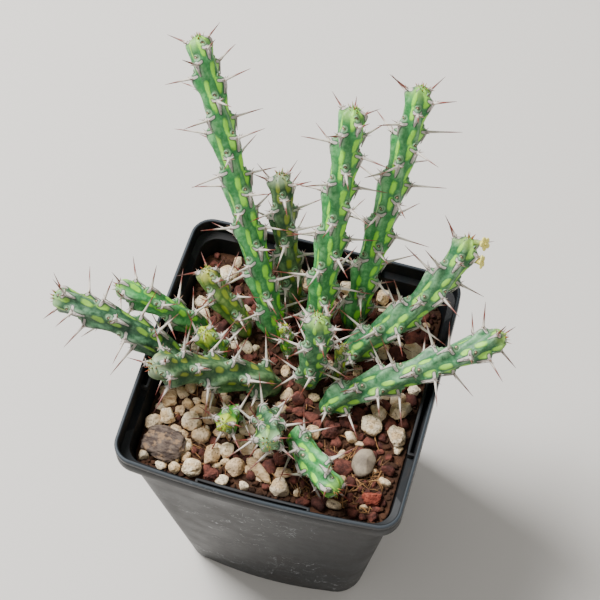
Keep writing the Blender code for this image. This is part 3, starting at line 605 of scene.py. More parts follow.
class Axis:
    """The bent centre line of a stem above the soil, with a frame that is carried along it untwisted."""

    def __init__(self, stem):
        self.stem = stem
        self.radius = stem.radius * MM
        self.slot = STEM_SLOTS.get(stem.name, SKINS[stem.skin].slot)
        self.step = TOOTH_STEP * min(1.0, max(YOUNG_STEP, self.radius / STEP_RADIUS))
        start = np.array([*stem.root, SOIL_TOP / MM]) * MM
        knots = start, start + (0, 0, RISE), np.array(stem.knee) * MM, np.array(stem.tip) * MM
        t = np.linspace(0, 1, AXIS_POINTS)[:, None]
        weights = (1 - t) ** 3, 3 * t * (1 - t) ** 2, 3 * t**2 * (1 - t), t**3
        self.points = sum(w * k for w, k in zip(weights, knots))
        tangents = unit(np.gradient(self.points, axis=0))
        side = np.array([1.0, 0.0, 0.0])
        sides = []
        for tangent in tangents:
            side = unit(side - tangent * (side @ tangent))
            sides.append(side)
        self.rows = np.hstack([self.points, tangents, sides])
        steps = np.linalg.norm(np.diff(self.points, axis=0), axis=1)
        self.run = np.concatenate([[0], np.cumsum(steps)])
        self.length = self.run[-1]
        # The teeth crowd together in the crown
        self.tooth_numbers = np.arange(0, MOST_TEETH, 0.25)
        most, fade = CROWDING
        crowded = self.tooth_numbers - most * (1 - np.exp(-self.tooth_numbers / fade))
        self.tooth_depths = self.step * crowded + MM * self.radius / FULL_RADIUS

    def frame(self, height):
        """Centre, tangent, side and front at a height along the stem, which is straight below the soil."""
        along = np.clip(height, 0, self.length)
        read = np.array([np.interp(along, self.run, column) for column in self.rows.T])
        centre, tangent, side = read[:3], unit(read[3:6]), read[6:]
        centre = centre + tangent * (height - along)
        side = unit(side - tangent * (side @ tangent))
        return centre, tangent, side, np.cross(tangent, side)

    def depth_of(self, tooth):
        """How far below the tip a tooth stands."""
        return float(np.interp(tooth, self.tooth_numbers, self.tooth_depths))

    def tooth_at(self, height):
        """The tooth's number, with its fraction, at a height."""
        return float(np.interp(self.length - height, self.tooth_depths, self.tooth_numbers))

    def bearing(self, tooth):
        """The angle round the stem at which a tooth stands."""
        return math.radians(self.stem.turn + TURN_PER_TOOTH * tooth)

    def teeth(self):
        """The numbers of the teeth, from the crown down to the first above the soil."""
        return [n for n in range(MOST_TEETH) if self.depth_of(n) < self.length - FIRST_TOOTH]

    def outer(self, height):
        """The radius over the teeth at this height, without the crown's rounding."""
        share = min(max(height / self.length, 0.0), 1.0)
        neck = FURROW + (1 - FURROW) * min(max(height / NECK_LENGTH, 0.0), 1.0)
        return self.radius * neck * (TAPER[0] + TAPER[1] * share)

    def cap(self, depth):
        """The crown's rounding: the share of the radius this far below the tip."""
        crown = CROWN_DEPTH * self.radius
        return math.sqrt(max(0.0, 1 - (1 - depth / crown) ** 2)) if depth < crown else 1.0

    def tooth_frame(self, tooth):
        """Where a tooth's skin is in the frame, with the ways out, up and sideways there."""
        height = self.length - self.depth_of(tooth)
        centre, tangent, side, front = self.frame(height)
        angle = self.bearing(tooth)
        out = side * math.cos(angle) + front * math.sin(angle)
        crest = FURROW + min(1.0, height / NECK_LENGTH) * (1 - FURROW)
        radius = self.outer(height) * crest * self.cap(self.length - height)
        return centre + out * radius, out, tangent, np.cross(tangent, out)


AXES = {stem.name: Axis(stem) for stem in STEMS}


def clear_of_pot(points):
    """Above the lip, well inside the walls, or well outside them."""
    reach = np.abs(points[:, :2]).max(axis=1)
    inside = reach < RIM_HALF - WALL - STRIP_INSET - STRIP_WALL - SPINE_CLEARANCE
    outside = reach > RIM_HALF + FRONT_BOW + SPINE_CLEARANCE
    above = points[:, 2] > POT_HEIGHT + SPINE_CLEARANCE
    return bool((above | inside | outside).all())


def clear_of_rest(points, own, spheres, placed):
    """True where a spine's sample points miss the soil, the pot, other stems, blooms, stones and spines."""
    if points[:, 2].min() < SOIL_TOP + SPINE_CLEARANCE or not clear_of_pot(points):
        return False
    for axis in AXES.values():
        spread = np.linalg.norm(points[:, None] - axis.points[None], axis=2).min(axis=1)
        if axis is not own and spread.min() < axis.radius + BODY_CLEARANCE:
            return False
        if axis is own and (spread[SPINE_SAMPLES // 2 :] < axis.radius).any():
            return False
    if any(np.linalg.norm(points - centre, axis=1).min() < radius for centre, radius in spheres):
        return False
    if not placed:
        return True
    return np.linalg.norm(np.concatenate(placed)[None] - points[:, None], axis=2).min() > SPINE_CLEARANCE


def grow_spines(axis, spheres, placed):
    """The stem's spines by tooth, as the frame has them: their sample points."""
    draw = random.Random(axis.stem.name)
    spines = {}
    for tooth in axis.teeth():
        skin, out, up, across = axis.tooth_frame(tooth)
        young = math.exp(-tooth / 3)
        reach = SPINE_LENGTH * min(1.0, axis.radius / FULL_RADIUS + 0.1) * (1 - 0.45 * young)
        reach *= draw.uniform(0.85, 1.1)
        lean, swing = draw.gauss(0, 0.12) + 0.7 * young, draw.gauss(0, 0.12)
        tries = [(cut_to, a, b) for cut_to in SPINE_CUTS for a in SPINE_LEANS for b in SPINE_SWINGS]
        for cut_to, more_lean, more_swing in tries:
            way = unit(out + up * (lean + more_lean) + across * (swing + more_swing))
            points = skin + way * reach * cut_to * np.linspace(0, 1, SPINE_SAMPLES)[:, None]
            if clear_of_rest(points, axis, spheres, placed):
                placed.append(points)
                spines[tooth] = points
                break
    return spines


def bloom_frame(below, facing):
    """The skin of the flowering stem where a flower head stands, and the way it faces."""
    axis = AXES[BLOOM_STEM]
    height = axis.length - below * MM
    centre, tangent, _, _ = axis.frame(height)
    facing = unit(np.array(facing))
    out = unit(facing - tangent * (facing @ tangent) * 0.7)
    return centre + out * axis.outer(height) * 0.9 * axis.cap(below * MM), out


def all_spines():
    """Every stem's spines, in the frame's order of draws."""
    spheres = [(np.array(s.place) * MM, max(s.half) * MM + SPINE_CLEARANCE) for s in STONES]
    for below, facing in BLOOMS.values():
        skin, out = bloom_frame(below, facing)
        spheres.append((skin + out * BLOOM_REACH, BLOOM_REACH + SPINE_CLEARANCE))
    placed = []
    return {name: grow_spines(axis, spheres, placed) for name, axis in AXES.items()}


# The skin of the stems


def skin_heights(axis, step):
    """Heights of the skin's rings, from the tip down into the socket."""
    crown = CROWN_DEPTH * axis.radius
    depths = [crown * (1 - math.cos(a)) for a in np.linspace(0, math.pi / 2, CROWN_RINGS)]
    count = max(2, round((axis.length - crown) / step))
    depths += list(np.linspace(crown, axis.length, count + 1)[1:])
    return np.array([axis.length - d for d in depths] + [-SOCKET_DEPTH, -SOCKET_DEPTH])


def skin_shape(teeth, heights, shares):
    """The skin's share of the outer radius for rings of heights and columns of rib shares.

    Each rib is full at a tooth and has a notch over it, and a knob stands under the spine.
    """
    rib = np.round(shares)[None]
    across = np.cos(math.pi * (shares[None] - rib)) ** 2
    phase = ((-teeth[:, None] + 3 * rib) / RIBS) % 1
    relief = np.clip(heights / NECK_LENGTH, 0, 1)[:, None]
    notch = np.clip(phase / NOTCH_SHARE, 0, 1)
    rise = np.clip((1 - phase) / (1 - NOTCH_SHARE), 0, 1)
    swell = 1 - FINE_NOTCH * np.where(phase < NOTCH_SHARE, notch**2 * (3 - 2 * notch), rise**1.2)
    tooth = (1 - FURROW - FINE_CREST) * swell * across**1.3
    above, below = KNOB_SHARES
    knob = np.exp(-(np.where(phase < 0.5, phase / above, (1 - phase) / below) ** 2)) * across**2.5
    return FURROW + relief * (FINE_CREST * across + tooth) + relief * KNOB * knob


def outer_radii(axis, heights):
    return np.array([axis.outer(h) * axis.cap(axis.length - h) for h in heights])[:, None]


def wrap(angle):
    return (angle + math.pi) % math.tau - math.pi


def marks(axis, heights, angles):
    """For each ring and column: nearness to a patch, and the mm to a bud scar and to a shield's edge."""
    settings, shields = group("stems"), group("spines")
    patch, eye, shield = (np.full((len(heights), len(angles[0])), FAR) for _ in range(3))
    draw = random.Random(axis.stem.name + " marks")
    for tooth in range(-3, len(axis.teeth()) + 2):
        depth = axis.depth_of(max(tooth, 0)) + min(tooth, 0) * axis.step
        above = heights[:, None] - axis.length + depth
        crowd = 1 - 0.45 * math.exp(-max(tooth, 0) / 4)
        for side in (-1, 1):
            middle = settings.patch_rise * crowd * draw.uniform(0.92, 1.08)
            long = axis.stem.patch * MM * crowd * draw.uniform(0.85, 1.15)
            wide = settings.patch_width * draw.uniform(0.85, 1.2)
            lean = side * draw.uniform(0.02, 0.12)
            bearing = axis.bearing(tooth) + side * settings.patch_turn * draw.uniform(0.88, 1.08)
            around = wrap(angles - bearing) * axis.radius * 0.9 + lean * (above - middle)
            near = ((np.abs(around) / wide) ** 2.4 + (np.abs(above - middle) / long) ** 2.4) ** (1 / 2.4)
            patch = np.minimum(patch, near)
        around = np.abs(wrap(angles - axis.bearing(tooth))) * axis.radius
        eye_rise = settings.eye_rise * (0.5 + 0.5 * crowd)
        eye = np.minimum(eye, np.hypot(around, (above - eye_rise) * 1.15) / MM)
        tail = np.clip(-above / (shields.shield_tail * crowd), 0, 1)
        width = shields.shield_width * (1.15 - 0.85 * tail)
        past_end = np.maximum(0, -above - shields.shield_tail * crowd) + np.maximum(0, above)
        bar = np.hypot(around, past_end) - width
        arm = np.hypot(np.maximum(0, around - shields.shield_arm * crowd), above - 0.25 * around) - 0.4 * MM
        shield = np.minimum(shield, np.minimum(bar, arm) / MM)
    return {"patch": patch, "eye": eye / FAR, "shield": shield}


def make_skin(axis, material):
    """A sphere drawn out along the stem in fine rings, with its ribs, teeth and marks."""
    settings = group("stems")
    heights = skin_heights(axis, settings.ring_step)
    columns = RIBS * settings.columns
    bm = bmesh.new()
    bmesh.ops.create_uvsphere(bm, u_segments=columns, v_segments=len(heights) - 1, radius=1)
    sphere = positions(bm.verts)
    ring = np.rint(np.arccos(np.clip(sphere[:, 2], -1, 1)) / math.pi * (len(heights) - 1)).astype(int)
    column = np.rint(np.arctan2(sphere[:, 1], sphere[:, 0]) / math.tau * columns).astype(int) % columns
    teeth = np.array([axis.tooth_at(h) for h in heights])
    shares = np.arange(columns) / settings.columns
    shape = skin_shape(teeth, heights, shares)
    radii = outer_radii(axis, heights) * shape
    radii[[0, -1]] = 0
    angles = np.radians(axis.stem.turn + shares[None] * 360 / RIBS + RIB_DRIFT * teeth[:, None])
    frames = [axis.frame(h) for h in heights]
    centre, side, front = (np.array([f[i] for f in frames])[:, None] for i in (0, 2, 3))
    spread = side * np.cos(angles)[..., None] + front * np.sin(angles)[..., None]
    grid = centre + spread * radii[..., None]
    for vert, r, c in zip(bm.verts, ring, column):
        point = Vector(grid[r, c])
        lumps = sum(high * noise.noise(point / (MM * wide)) for wide, high in LUMPS) * MM
        vert.co = point + Vector(spread[r, c]) * lumps * min(1.0, radii[r, c] / MM)
    name = axis.stem.name
    mesh = place_piece(name + "_skin", bm, [material], [name]).data
    for key, values in marks(axis, heights, angles).items():
        store(mesh, key, values[ring, column])
    store(mesh, "rise", ((shape - FURROW) / (1 - FURROW))[ring, column])
    store(mesh, "depth", ((axis.length - heights) / MM)[ring])


def skin_material(key, skin):
    """Waxy living skin: cloudy pale bloom over deeper green, with soft yellow-green patches, crests that are
    pale with bloom and a painted highlight, and painted shade in the furrows.
    """
    material, tree = new_material("Waxy_skin_" + key)
    clouds, mottle = pattern(tree, (2.4, 5, 0.62)), pattern(tree, (0.6, 3, 0.6, (0.3, 0.1, 0.2)))
    rise, patch, eye, shield, depth = (pattern(tree, n) for n in ("rise", "patch", "eye", "shield", "depth"))
    fine = add_node(tree, "Math", (mottle, 0.4), operation="MULTIPLY")
    cloudy = add_node(tree, "Math", (clouds, 0.75, fine), operation="MULTIPLY_ADD")
    # The mottle makes the patches' and the shields' edges uneven
    near = add_node(tree, "Math", (mottle, 0.9, patch), operation="MULTIPLY_ADD")
    edge = add_node(tree, "Math", (mottle, 0.25, shield), operation="MULTIPLY_ADD")
    spot = add_node(tree, "MapRange", (near, 1.75, 1.15, 0.0, skin.strength), interpolation_type="SMOOTHSTEP")
    scar = add_node(tree, "ValToRGB", (eye,)).node
    elements = scar.color_ramp.elements
    while len(elements) < len(SCAR):
        elements.new(0.5)
    for element, (place, code, alpha) in zip(elements, SCAR):
        element.position = place
        element.color = (*linear(code), alpha)
    colour = coat(tree, paint(skin.deep), (
        (cloudy, 0.42, 0.76, 0.9, skin.bloom),
        # The teeth's crests are paler, partly waxy bloom and partly a painted highlight, and the furrows get
        # painted shade
        (rise, 0.7, 1.6, 0.5, "#b2d2ae"),
        (rise, 0.35, 0.0, 0.5, skin.deep),
        (near, 2.35, 1.65, 0.5, skin.deep),
        (spot, skin.patch),
        (depth, 4.5, 0.8, 0.6, skin.tip),
        (scar.outputs["Alpha"], scar.outputs["Color"]),
        (edge, 0.675, 0.325, 0.8, "#2c4636"),
        (edge, 0.245, 0.075, 1.0, "#b9b0a8"),
    ))
    raised = add_node(tree, "Math", (spot, 0.8), operation="MULTIPLY")
    height = add_node(tree, "Math", (mottle, 0.7, raised), operation="MULTIPLY_ADD")
    shade(tree, colour, 0.48, height, 0.15, {SPECULAR: 0.4})
    return material


class EUPHORBIA_OT_stems(bpy.types.Operator):
    """Makes the skin of every stem, with its ribs, teeth, patches and bud scars"""

    bl_idname = "euphorbia.stems"
    bl_label = "Stems"

    def execute(self, context):
        materials = {key: skin_material(key, skin) for key, skin in SKINS.items()}
        for axis in AXES.values():
            make_skin(axis, materials[axis.stem.skin])
        return {"FINISHED"}


# Spines, shields, prickles and buds


def needle_bmesh():
    """A needle one unit long with a swollen foot, thinning in a slight hollow to its tip."""
    bm = cone_bmesh(7, 0.02, cuts=6)
    for vert in bm.verts:
        z = vert.co.z
        width = 1.5 - 3.5 * z if z < 0.12 else 1.08 * (1 - z) ** 0.85 + 0.1
        vert.co = (*(vert.co.xy.normalized() * width), z**1.4)
    return bm


def fine_skin_point(axis, height, angle, share):
    """A point of the fine skin, and the way out there."""
    shape = skin_shape(np.array([axis.tooth_at(height)]), np.array([height]), np.array([share]))
    centre, _, side, front = axis.frame(height)
    out = side * math.cos(angle) + front * math.sin(angle)
    return centre + out * (outer_radii(axis, [height]) * shape)[0, 0], out


def add_areole(stamp, forms, axis, tooth, spine, draw):
    """One tooth's shield, spine, prickles and bud."""
    settings, buds = group("spines"), group("stems")
    _, out, up, across = axis.tooth_frame(tooth)
    height = axis.length - axis.depth_of(tooth)
    skin, _ = fine_skin_point(axis, height, axis.bearing(tooth), 2.0 * tooth)
    size = min(1.0, axis.radius / FULL_RADIUS + 0.05) * (1 - 0.35 * math.exp(-tooth / 2.5))
    tint = draw.random()
    wide, thick = settings.shield_width * size, SHIELD_THICKNESS * size
    for part, sideways, outwards, upwards, broad in SHIELD_PARTS:
        way = unit(across * sideways + out * outwards + up * upwards)
        flank = unit(np.cross(out, way))
        reach = getattr(settings, "shield_" + part) * size
        sizes = flank * wide * broad, np.cross(way, flank) * thick, way * reach
        matrix = axes_matrix(*sizes, skin - out * 0.12 * MM)
        stamp.add(forms["lobe"], matrix, 1, along=0.0, tint=tint)
    for side in (-1, 1):
        way = unit(out * 0.9 + across * side * draw.uniform(0.8, 1.3) + up * draw.uniform(0.2, 0.9))
        reach = settings.prickle * size * draw.uniform(0.6, 1.2)
        root = skin + across * side * settings.shield_arm * size * 0.45 - out * GAP
        matrix = turn_to(way, root) @ sized(PRICKLE_WIDTH, PRICKLE_WIDTH, reach + GAP)
        stamp.add(forms["prickle"], matrix, 2, along=0.9, tint=tint)
    if spine is not None:
        foot, tip = skin - out * 0.25 * MM, spine[-1] - TIP_BACK * unit(spine[-1] - spine[0])
        reach = np.linalg.norm(tip - foot)
        width = settings.radius * (0.75 + 0.25 * size) * min(1.0, reach / (7 * MM))
        matrix = turn_to(tip - foot, foot) @ sized(width, width, reach)
        stamp.add(forms["spine"], matrix, 0, along=None, tint=tint, young=math.exp(-tooth / 4))
    height += buds.eye_rise * (0.5 + 0.5 * size)
    if tooth > 1 and height < axis.length - 1.5 * MM:
        # A bud stands on the same rib as its spine, a little further round with the ribs' drift
        turned = math.radians(axis.stem.turn + 2 * tooth * 360 / RIBS + RIB_DRIFT * axis.tooth_at(height))
        place, bud_out = fine_skin_point(axis, height, turned, 2.0 * tooth)
        radius = buds.eye_radius * size
        matrix = turn_to(bud_out, place - bud_out * 0.12 * MM) @ sized(radius, radius, 0.55 * radius)
        stamp.add(forms["bud"], matrix, 3, along=None, tint=tint)


def add_crown(stamp, form, axis, draw):
    """The small leafy scales and young prickles that stand in the middle of a crown."""
    size, count = axis.radius / FULL_RADIUS, group("spines").crown_bits
    for i in range(count):
        turn = i * 2.4 + draw.uniform(-0.3, 0.3)
        spread = 0.18 * MM + 1.9 * MM * size * (i / count) ** 0.8
        depth = CROWN_DEPTH * axis.radius * (1 - math.sqrt(max(0.0, 1 - (spread / axis.radius) ** 2)))
        centre, tangent, side, front = axis.frame(axis.length - depth - GAP)
        out = side * math.cos(turn) + front * math.sin(turn)
        way = unit(tangent + out * (0.15 + 0.9 * i / count) + draw.uniform(-0.2, 0.2) * side)
        reach = draw.uniform(1.0, 1.9) * MM * (0.6 + 0.4 * size)
        flat = np.cross(way, out)
        width = draw.uniform(0.22, 0.42) * MM
        matrix = axes_matrix(unit(flat) * width, unit(np.cross(way, flat)) * width * 0.55, way * reach,
                             centre + out * spread)
        stamp.add(form, matrix, 4, along=None, tint=draw.random())


class EUPHORBIA_OT_spines(bpy.types.Operator):
    """Makes the shields, spines, prickles and buds of every stem"""

    bl_idname = "euphorbia.spines"
    bl_label = "Spines"

    def execute(self, context):
        shapes = {"spine": needle_bmesh(), "lobe": cone_bmesh(6, 0.3), "prickle": cone_bmesh(4, 0.1),
                  "bud": round_bmesh(2)}
        forms = {name: as_mesh(name + "_form", bm) for name, bm in shapes.items()}
        materials = [finish(name) for name in ("Dry_spine_horn", "Chalky_horn_shield", "Brown_prickle_horn",
                                               "Dormant_bud_tissue", "Young_crown_scale")]
        spines = all_spines()
        for name, axis in AXES.items():
            stamp = Stamp("along", "tint", "young")
            draw = random.Random(name + " areoles")
            for tooth in axis.teeth():
                add_areole(stamp, forms, axis, tooth, spines[name].get(tooth), draw)
            add_crown(stamp, forms["prickle"], axis, draw)
            place_piece(name + "_spines", stamp.bm, materials, [name])
        return {"FINISHED"}


# Flower heads


def gland_bmesh():
    """A flat ball with a dip in its top."""
    bm = bmesh.new()
    bmesh.ops.create_uvsphere(bm, u_segments=14, v_segments=9, radius=1)
    for vert in bm.verts:
        if vert.co.z > 0:
            vert.co.z *= 1 - 0.75 * math.exp(-((vert.co.x / 0.45) ** 2 + (vert.co.y / 0.6) ** 2))
    return bm


def make_bloom(name, below, facing, materials):
    """A cup on a short stalk, five thick glands with a dip each, small bracts and a tuft of stamens."""
    skin, out = bloom_frame(below, facing)
    base = turn_to(out, skin + out * (STALK_LENGTH + GAP))
    stamp = Stamp("rise")
    bm = bmesh.new()
    bmesh.ops.create_cone(bm, cap_ends=True, segments=20, radius1=CUP_RADII[0], radius2=CUP_RADII[1],
                          depth=CUP_HEIGHT, matrix=Matrix.Translation((0, 0, CUP_HEIGHT / 2)))
    cup, gland = as_mesh("cup_form", bm), as_mesh("gland_form", gland_bmesh())
    stamen, stalk = as_mesh("stamen_form", cone_bmesh(6, 0.8)), as_mesh("stalk_form", cone_bmesh(12, 0.9))
    stalk_depth = STALK_LENGTH + STALK_ROOT
    long = stalk_depth + 0.2 * MM
    rooted = Matrix.Translation((0, 0, -stalk_depth)) @ sized(STALK_RADIUS, STALK_RADIUS, long)
    stamp.add(stalk, base @ rooted, 1, rise=0.0)
    stamp.add(cup, base, 0, rise=0.3)
    for i in range(GLANDS):
        for turn, outward, upward, half, rise in RIM_LOBES:
            turned = Matrix.Rotation((i + turn) * math.tau / GLANDS, 4, "Z")
            place = turned @ Matrix.Translation((CUP_RADII[1] * outward, 0, CUP_HEIGHT * upward))
            stamp.add(gland, base @ place @ sized(*(value * MM for value in half)), 0, rise=rise)
    draw = random.Random(name)
    for _ in range(STAMENS):
        angle, lean = draw.uniform(0, math.tau), draw.uniform(0, 0.3)
        way = (math.cos(angle) * lean, math.sin(angle) * lean, 1)
        foot = (math.cos(angle) * 0.25 * MM, math.sin(angle) * 0.25 * MM, CUP_HEIGHT * 0.8)
        size = sized(0.14 * MM, 0.14 * MM, draw.uniform(0.7, 1.0) * MM)
        stamp.add(stamen, base @ turn_to(way, foot) @ size, 0, rise=1.0)
    bmesh.ops.recalc_face_normals(stamp.bm, faces=stamp.bm.faces)
    place_piece(name + "_head", stamp.bm, materials, [name])


class EUPHORBIA_OT_blooms(bpy.types.Operator):
    """Makes the small yellow flower heads"""

    bl_idname = "euphorbia.blooms"
    bl_label = "Flower heads"

    def execute(self, context):
        materials = [finish("Soft_yellow_gland"), finish("Green_stalk_tissue")]
        for name, (below, facing) in BLOOMS.items():
            make_bloom(name, below, facing, materials)
        return {"FINISHED"}


# Stones, bark and chips


def chip(points, slot, draw):
    """Pushes back what stands over a few planes turned by chance, which leaves flat, chipped faces."""
    _, count, reach = STONE_KINDS[slot]
    for _ in range(count):
        normal = unit(np.array([draw.gauss(0, 1) for _ in range(3)]))
        over = np.maximum(points @ normal - draw.uniform(*reach), 0)
        points = points - np.outer(over * CHIP_DEPTH, normal)
    return points


def relief_of(slot, point):
    """Small relief of a loose piece, as a share of its size."""
    if slot == "pumice":
        pits = max(0.0, noise.noise(point * 4.5) - 0.2)
        return 0.07 * noise.noise(point * 2.0) - 0.26 * pits + 0.02 * noise.noise(point * 9.0)
    if "lava" in slot:
        return 0.14 * noise.noise(point * 3.2) + 0.1 * noise.noise(point * 8.0)
    if slot == "grey_stone":
        return 0.02 * noise.noise(point * 2.5)
    fibres = Vector((point.x * 1.2, point.y * 7.0, point.z * 5.0))
    return 0.07 * noise.noise(fibres) + 0.09 * noise.noise(point * 2.3) + 0.04 * noise.noise(point * 7.0)


def stone_bmesh(stone, steps):
    """The frame's lump for a loose piece, finer, with the pores, facets or fibres of its kind."""
    if stone.slot in FLAT_SLOTS:
        bm = bmesh.new()
        bmesh.ops.create_cube(bm, size=2)
        bmesh.ops.subdivide_edges(bm, edges=bm.edges, cuts=2**steps - 1, use_grid_fill=True)
        for vert in bm.verts:
            vert.co = vert.co.normalized() * vert.co.length**FLAT_ROUNDING
    else:
        bm = round_bmesh(steps + 1)
    place = Vector(stone.place)
    for vert in bm.verts:
        vert.co *= 1 + STONE_ROUGHNESS * noise.noise(vert.co * 1.3 + place)
    points = chip(positions(bm.verts), stone.slot, random.Random(str(stone.place)))
    half = Vector(stone.half) * MM
    turned = Matrix.Rotation(math.radians(stone.turn), 3, "Z")
    for vert, point in zip(bm.verts, points):
        shaped = Vector(point) * (1 + relief_of(stone.slot, Vector(point) + place))
        vert.co = place * MM + turned @ (shaped * half)
    return bm


class EUPHORBIA_OT_stones(bpy.types.Operator):
    """Makes the loose stones, the bark slab, the chips and the smaller pebbles"""

    bl_idname = "euphorbia.stones"
    bl_label = "Stones and bark"

    def execute(self, context):
        draw = random.Random(3)
        for stone in STONES:
            material = finish(STONE_KINDS[stone.slot][0])
            name, bm = stone.name + "_finish", stone_bmesh(stone, 4)
            piece = place_piece(name, bm, [material], [stone.name])
            store(piece.data, "tint", [draw.random()] * len(piece.data.vertices))
        stamp = Stamp("tint")
        draw = random.Random(17)
        for x, y, size in PUMICE_PEBBLES:
            half = [size * draw.uniform(*shares) for shares in ((0.95, 1.25), (0.85, 1.1), (0.75, 0.95))]
            place = (x, y, SOIL_TOP / MM + 0.5 * size)
            pebble = Stone("pebble", place, half, draw.uniform(0, 180), "pumice")
            form = as_mesh("pebble_form", stone_bmesh(pebble, 3))
            stamp.add(form, Matrix.Identity(4), 0, tint=draw.random())
        place_piece("pumice_pebbles", stamp.bm, [finish("Tumbled_pumice")])
        return {"FINISHED"}


# The soil, its grains and fibres


def wall_half(z):
    """Half the pot's outer width under its collar, at height z."""
    top = RIM_HALF - COLLAR_STEP
    return BASE_HALF + (top - BASE_HALF) * z / (POT_HEIGHT - COLLAR_HEIGHT)


def soil_height(x, y):
    """Height of the soil at a place, in metres, with its lumps."""
    point = Vector((x, y, 0)) / MM
    lumps = sum(high * noise.noise(point * often) for high, often in SOIL_LUMPS)
    return SOIL_TOP + (lumps - SOIL_SINK) * MM


def inside_pot(x, y, margin):
    """True where the place is within the rounded square of soil, by the margin."""
    middle = wall_half(SOIL_TOP) - RIM_CORNER
    past = math.hypot(max(0.0, abs(x) - middle), max(0.0, abs(y) - middle))
    return past < RIM_CORNER - WALL - GAP - margin


def soil_square(z):
    """Half the straight part of the soil's side at height z, and its corners' radius."""
    corner = BASE_CORNER + (RIM_CORNER - BASE_CORNER) * z / POT_HEIGHT - WALL - GAP
    return wall_half(z) - WALL - GAP - corner, corner


def bowed(place, middle, corner):
    """The place moved outwards by its side's bow, which is full at the wall and fades inwards."""
    x, y = place
    moved = []
    for value, other, bow in ((x, y, SIDE_BOW), (y, x, FRONT_BOW if y < 0 else SIDE_BOW)):
        belly = max(0.0, 1 - (other / middle) ** 2)
        near_wall = (abs(value) / (middle + corner)) ** 4
        moved.append(value + math.copysign(bow * belly * near_wall, value))
    return moved


def make_soil():
    """A rounded square of soil, lumpy on top, down to the pot's floor."""
    bm = bmesh.new()
    middle, corner = soil_square(SOIL_TOP)
    low_middle, low_corner = soil_square(FLOOR)
    bmesh.ops.create_grid(bm, x_segments=SOIL_GRID, y_segments=SOIL_GRID, size=middle + corner)
    rim = [e for e in bm.edges if e.is_boundary]
    lowered = bmesh.ops.extrude_edge_only(bm, edges=rim)["geom"]
    feet = {v for v in lowered if isinstance(v, bmesh.types.BMVert)}
    for vert in bm.verts:
        straight = Vector(min(max(value, -middle), middle) for value in vert.co.xy)
        past = vert.co.xy - straight
        if past.length > corner:
            past *= corner / past.length
        if vert in feet:
            low = straight * low_middle / middle + past * low_corner / corner
            vert.co = (*bowed(low, low_middle, low_corner), FLOOR + GAP)
        else:
            high = bowed(straight + past, middle, corner)
            vert.co = (*high, soil_height(*high))
    bottom = [e for e in lowered if isinstance(e, bmesh.types.BMEdge) and e.is_boundary]
    bmesh.ops.holes_fill(bm, edges=bottom, sides=0)
    bmesh.ops.recalc_face_normals(bm, faces=bm.faces)
    place_piece("soil", bm, [finish("Moist_peat")], ["substrate"])


# What grains keep off: x, y, reach, and the share of a grain's radius that is added
STEM_SPOTS = [(*axis.points[0][:2], axis.radius * 0.85, 0.5) for axis in AXES.values()]
STONE_SPOTS = [(s.place[0] * MM, s.place[1] * MM, 0.8 * min(s.half[:2]) * MM, 0.6) for s in STONES]


def blocked(x, y, radius, spots):
    return any(math.hypot(x - px, y - py) < reach + radius * share for px, py, reach, share in spots)


def chance(x, y, thick, elsewhere):
    """How often a piece is kept at a place: always where its kind is thick, else by its share."""
    from_x, to_x, from_y, to_y = (value * MM for value in thick)
    return 1.0 if from_x < x < to_x and from_y < y < to_y else elsewhere


def grain_forms(count, slot):
    """A few small lumps to repeat, chipped like the larger stones of their kind."""
    forms = []
    for i in range(count):
        bm = round_bmesh(3)
        shift = Vector((i * 7.3, 1, 2))
        for vert in bm.verts:
            vert.co *= 1 + 0.3 * noise.noise(vert.co * 1.2 + shift)
        points = chip(positions(bm.verts), slot, random.Random(i))
        for vert, point in zip(bm.verts, points):
            vert.co = Vector(point) * (1 + 0.1 * noise.noise(Vector(point) * 3 + shift))
        forms.append(as_mesh("grain_form", bm))
    return forms


def scatter(grit, taken):
    """Seeded grains of one kind on the soil, at most a little over those taken already."""
    draw = random.Random(grit.seed)
    stamp = Stamp("tint")
    forms = grain_forms(grit.forms, grit.like)
    reach = wall_half(SOIL_TOP) - WALL
    wanted = getattr(group("ground"), grit.count)
    placed = 0
    for _ in range(wanted * 12):
        if placed == wanted:
            break
        radius = draw.uniform(*grit.radii) * MM
        x, y = draw.uniform(-reach, reach), draw.uniform(-reach, reach)
        if draw.random() > chance(x, y, grit.thick, grit.elsewhere) or not inside_pot(x, y, radius * 1.1):
            continue
        if blocked(x, y, radius, STONE_SPOTS + STEM_SPOTS):
            continue
        others = np.array(taken)
        if (np.hypot(*(others[:, :2] - (x, y)).T) < 0.72 * (others[:, 2] + radius)).any():
            continue
        taken.append((x, y, radius))
        size = [radius * draw.uniform(*shares) for shares in ((0.75, 1.3), (0.75, 1.3), (0.6, 0.95))]
        angle = draw.uniform(0, math.tau)
        spin = Matrix.Rotation(angle, 4, Vector((draw.random(), draw.random(), draw.random() + 0.1)))
        place = Matrix.Translation((x, y, soil_height(x, y) + radius * 0.35))
        stamp.add(draw.choice(forms), place @ sized(*size) @ spin, 0, tint=draw.random())
        placed += 1
    place_piece(grit.name, stamp.bm, [finish(grit.finish)])


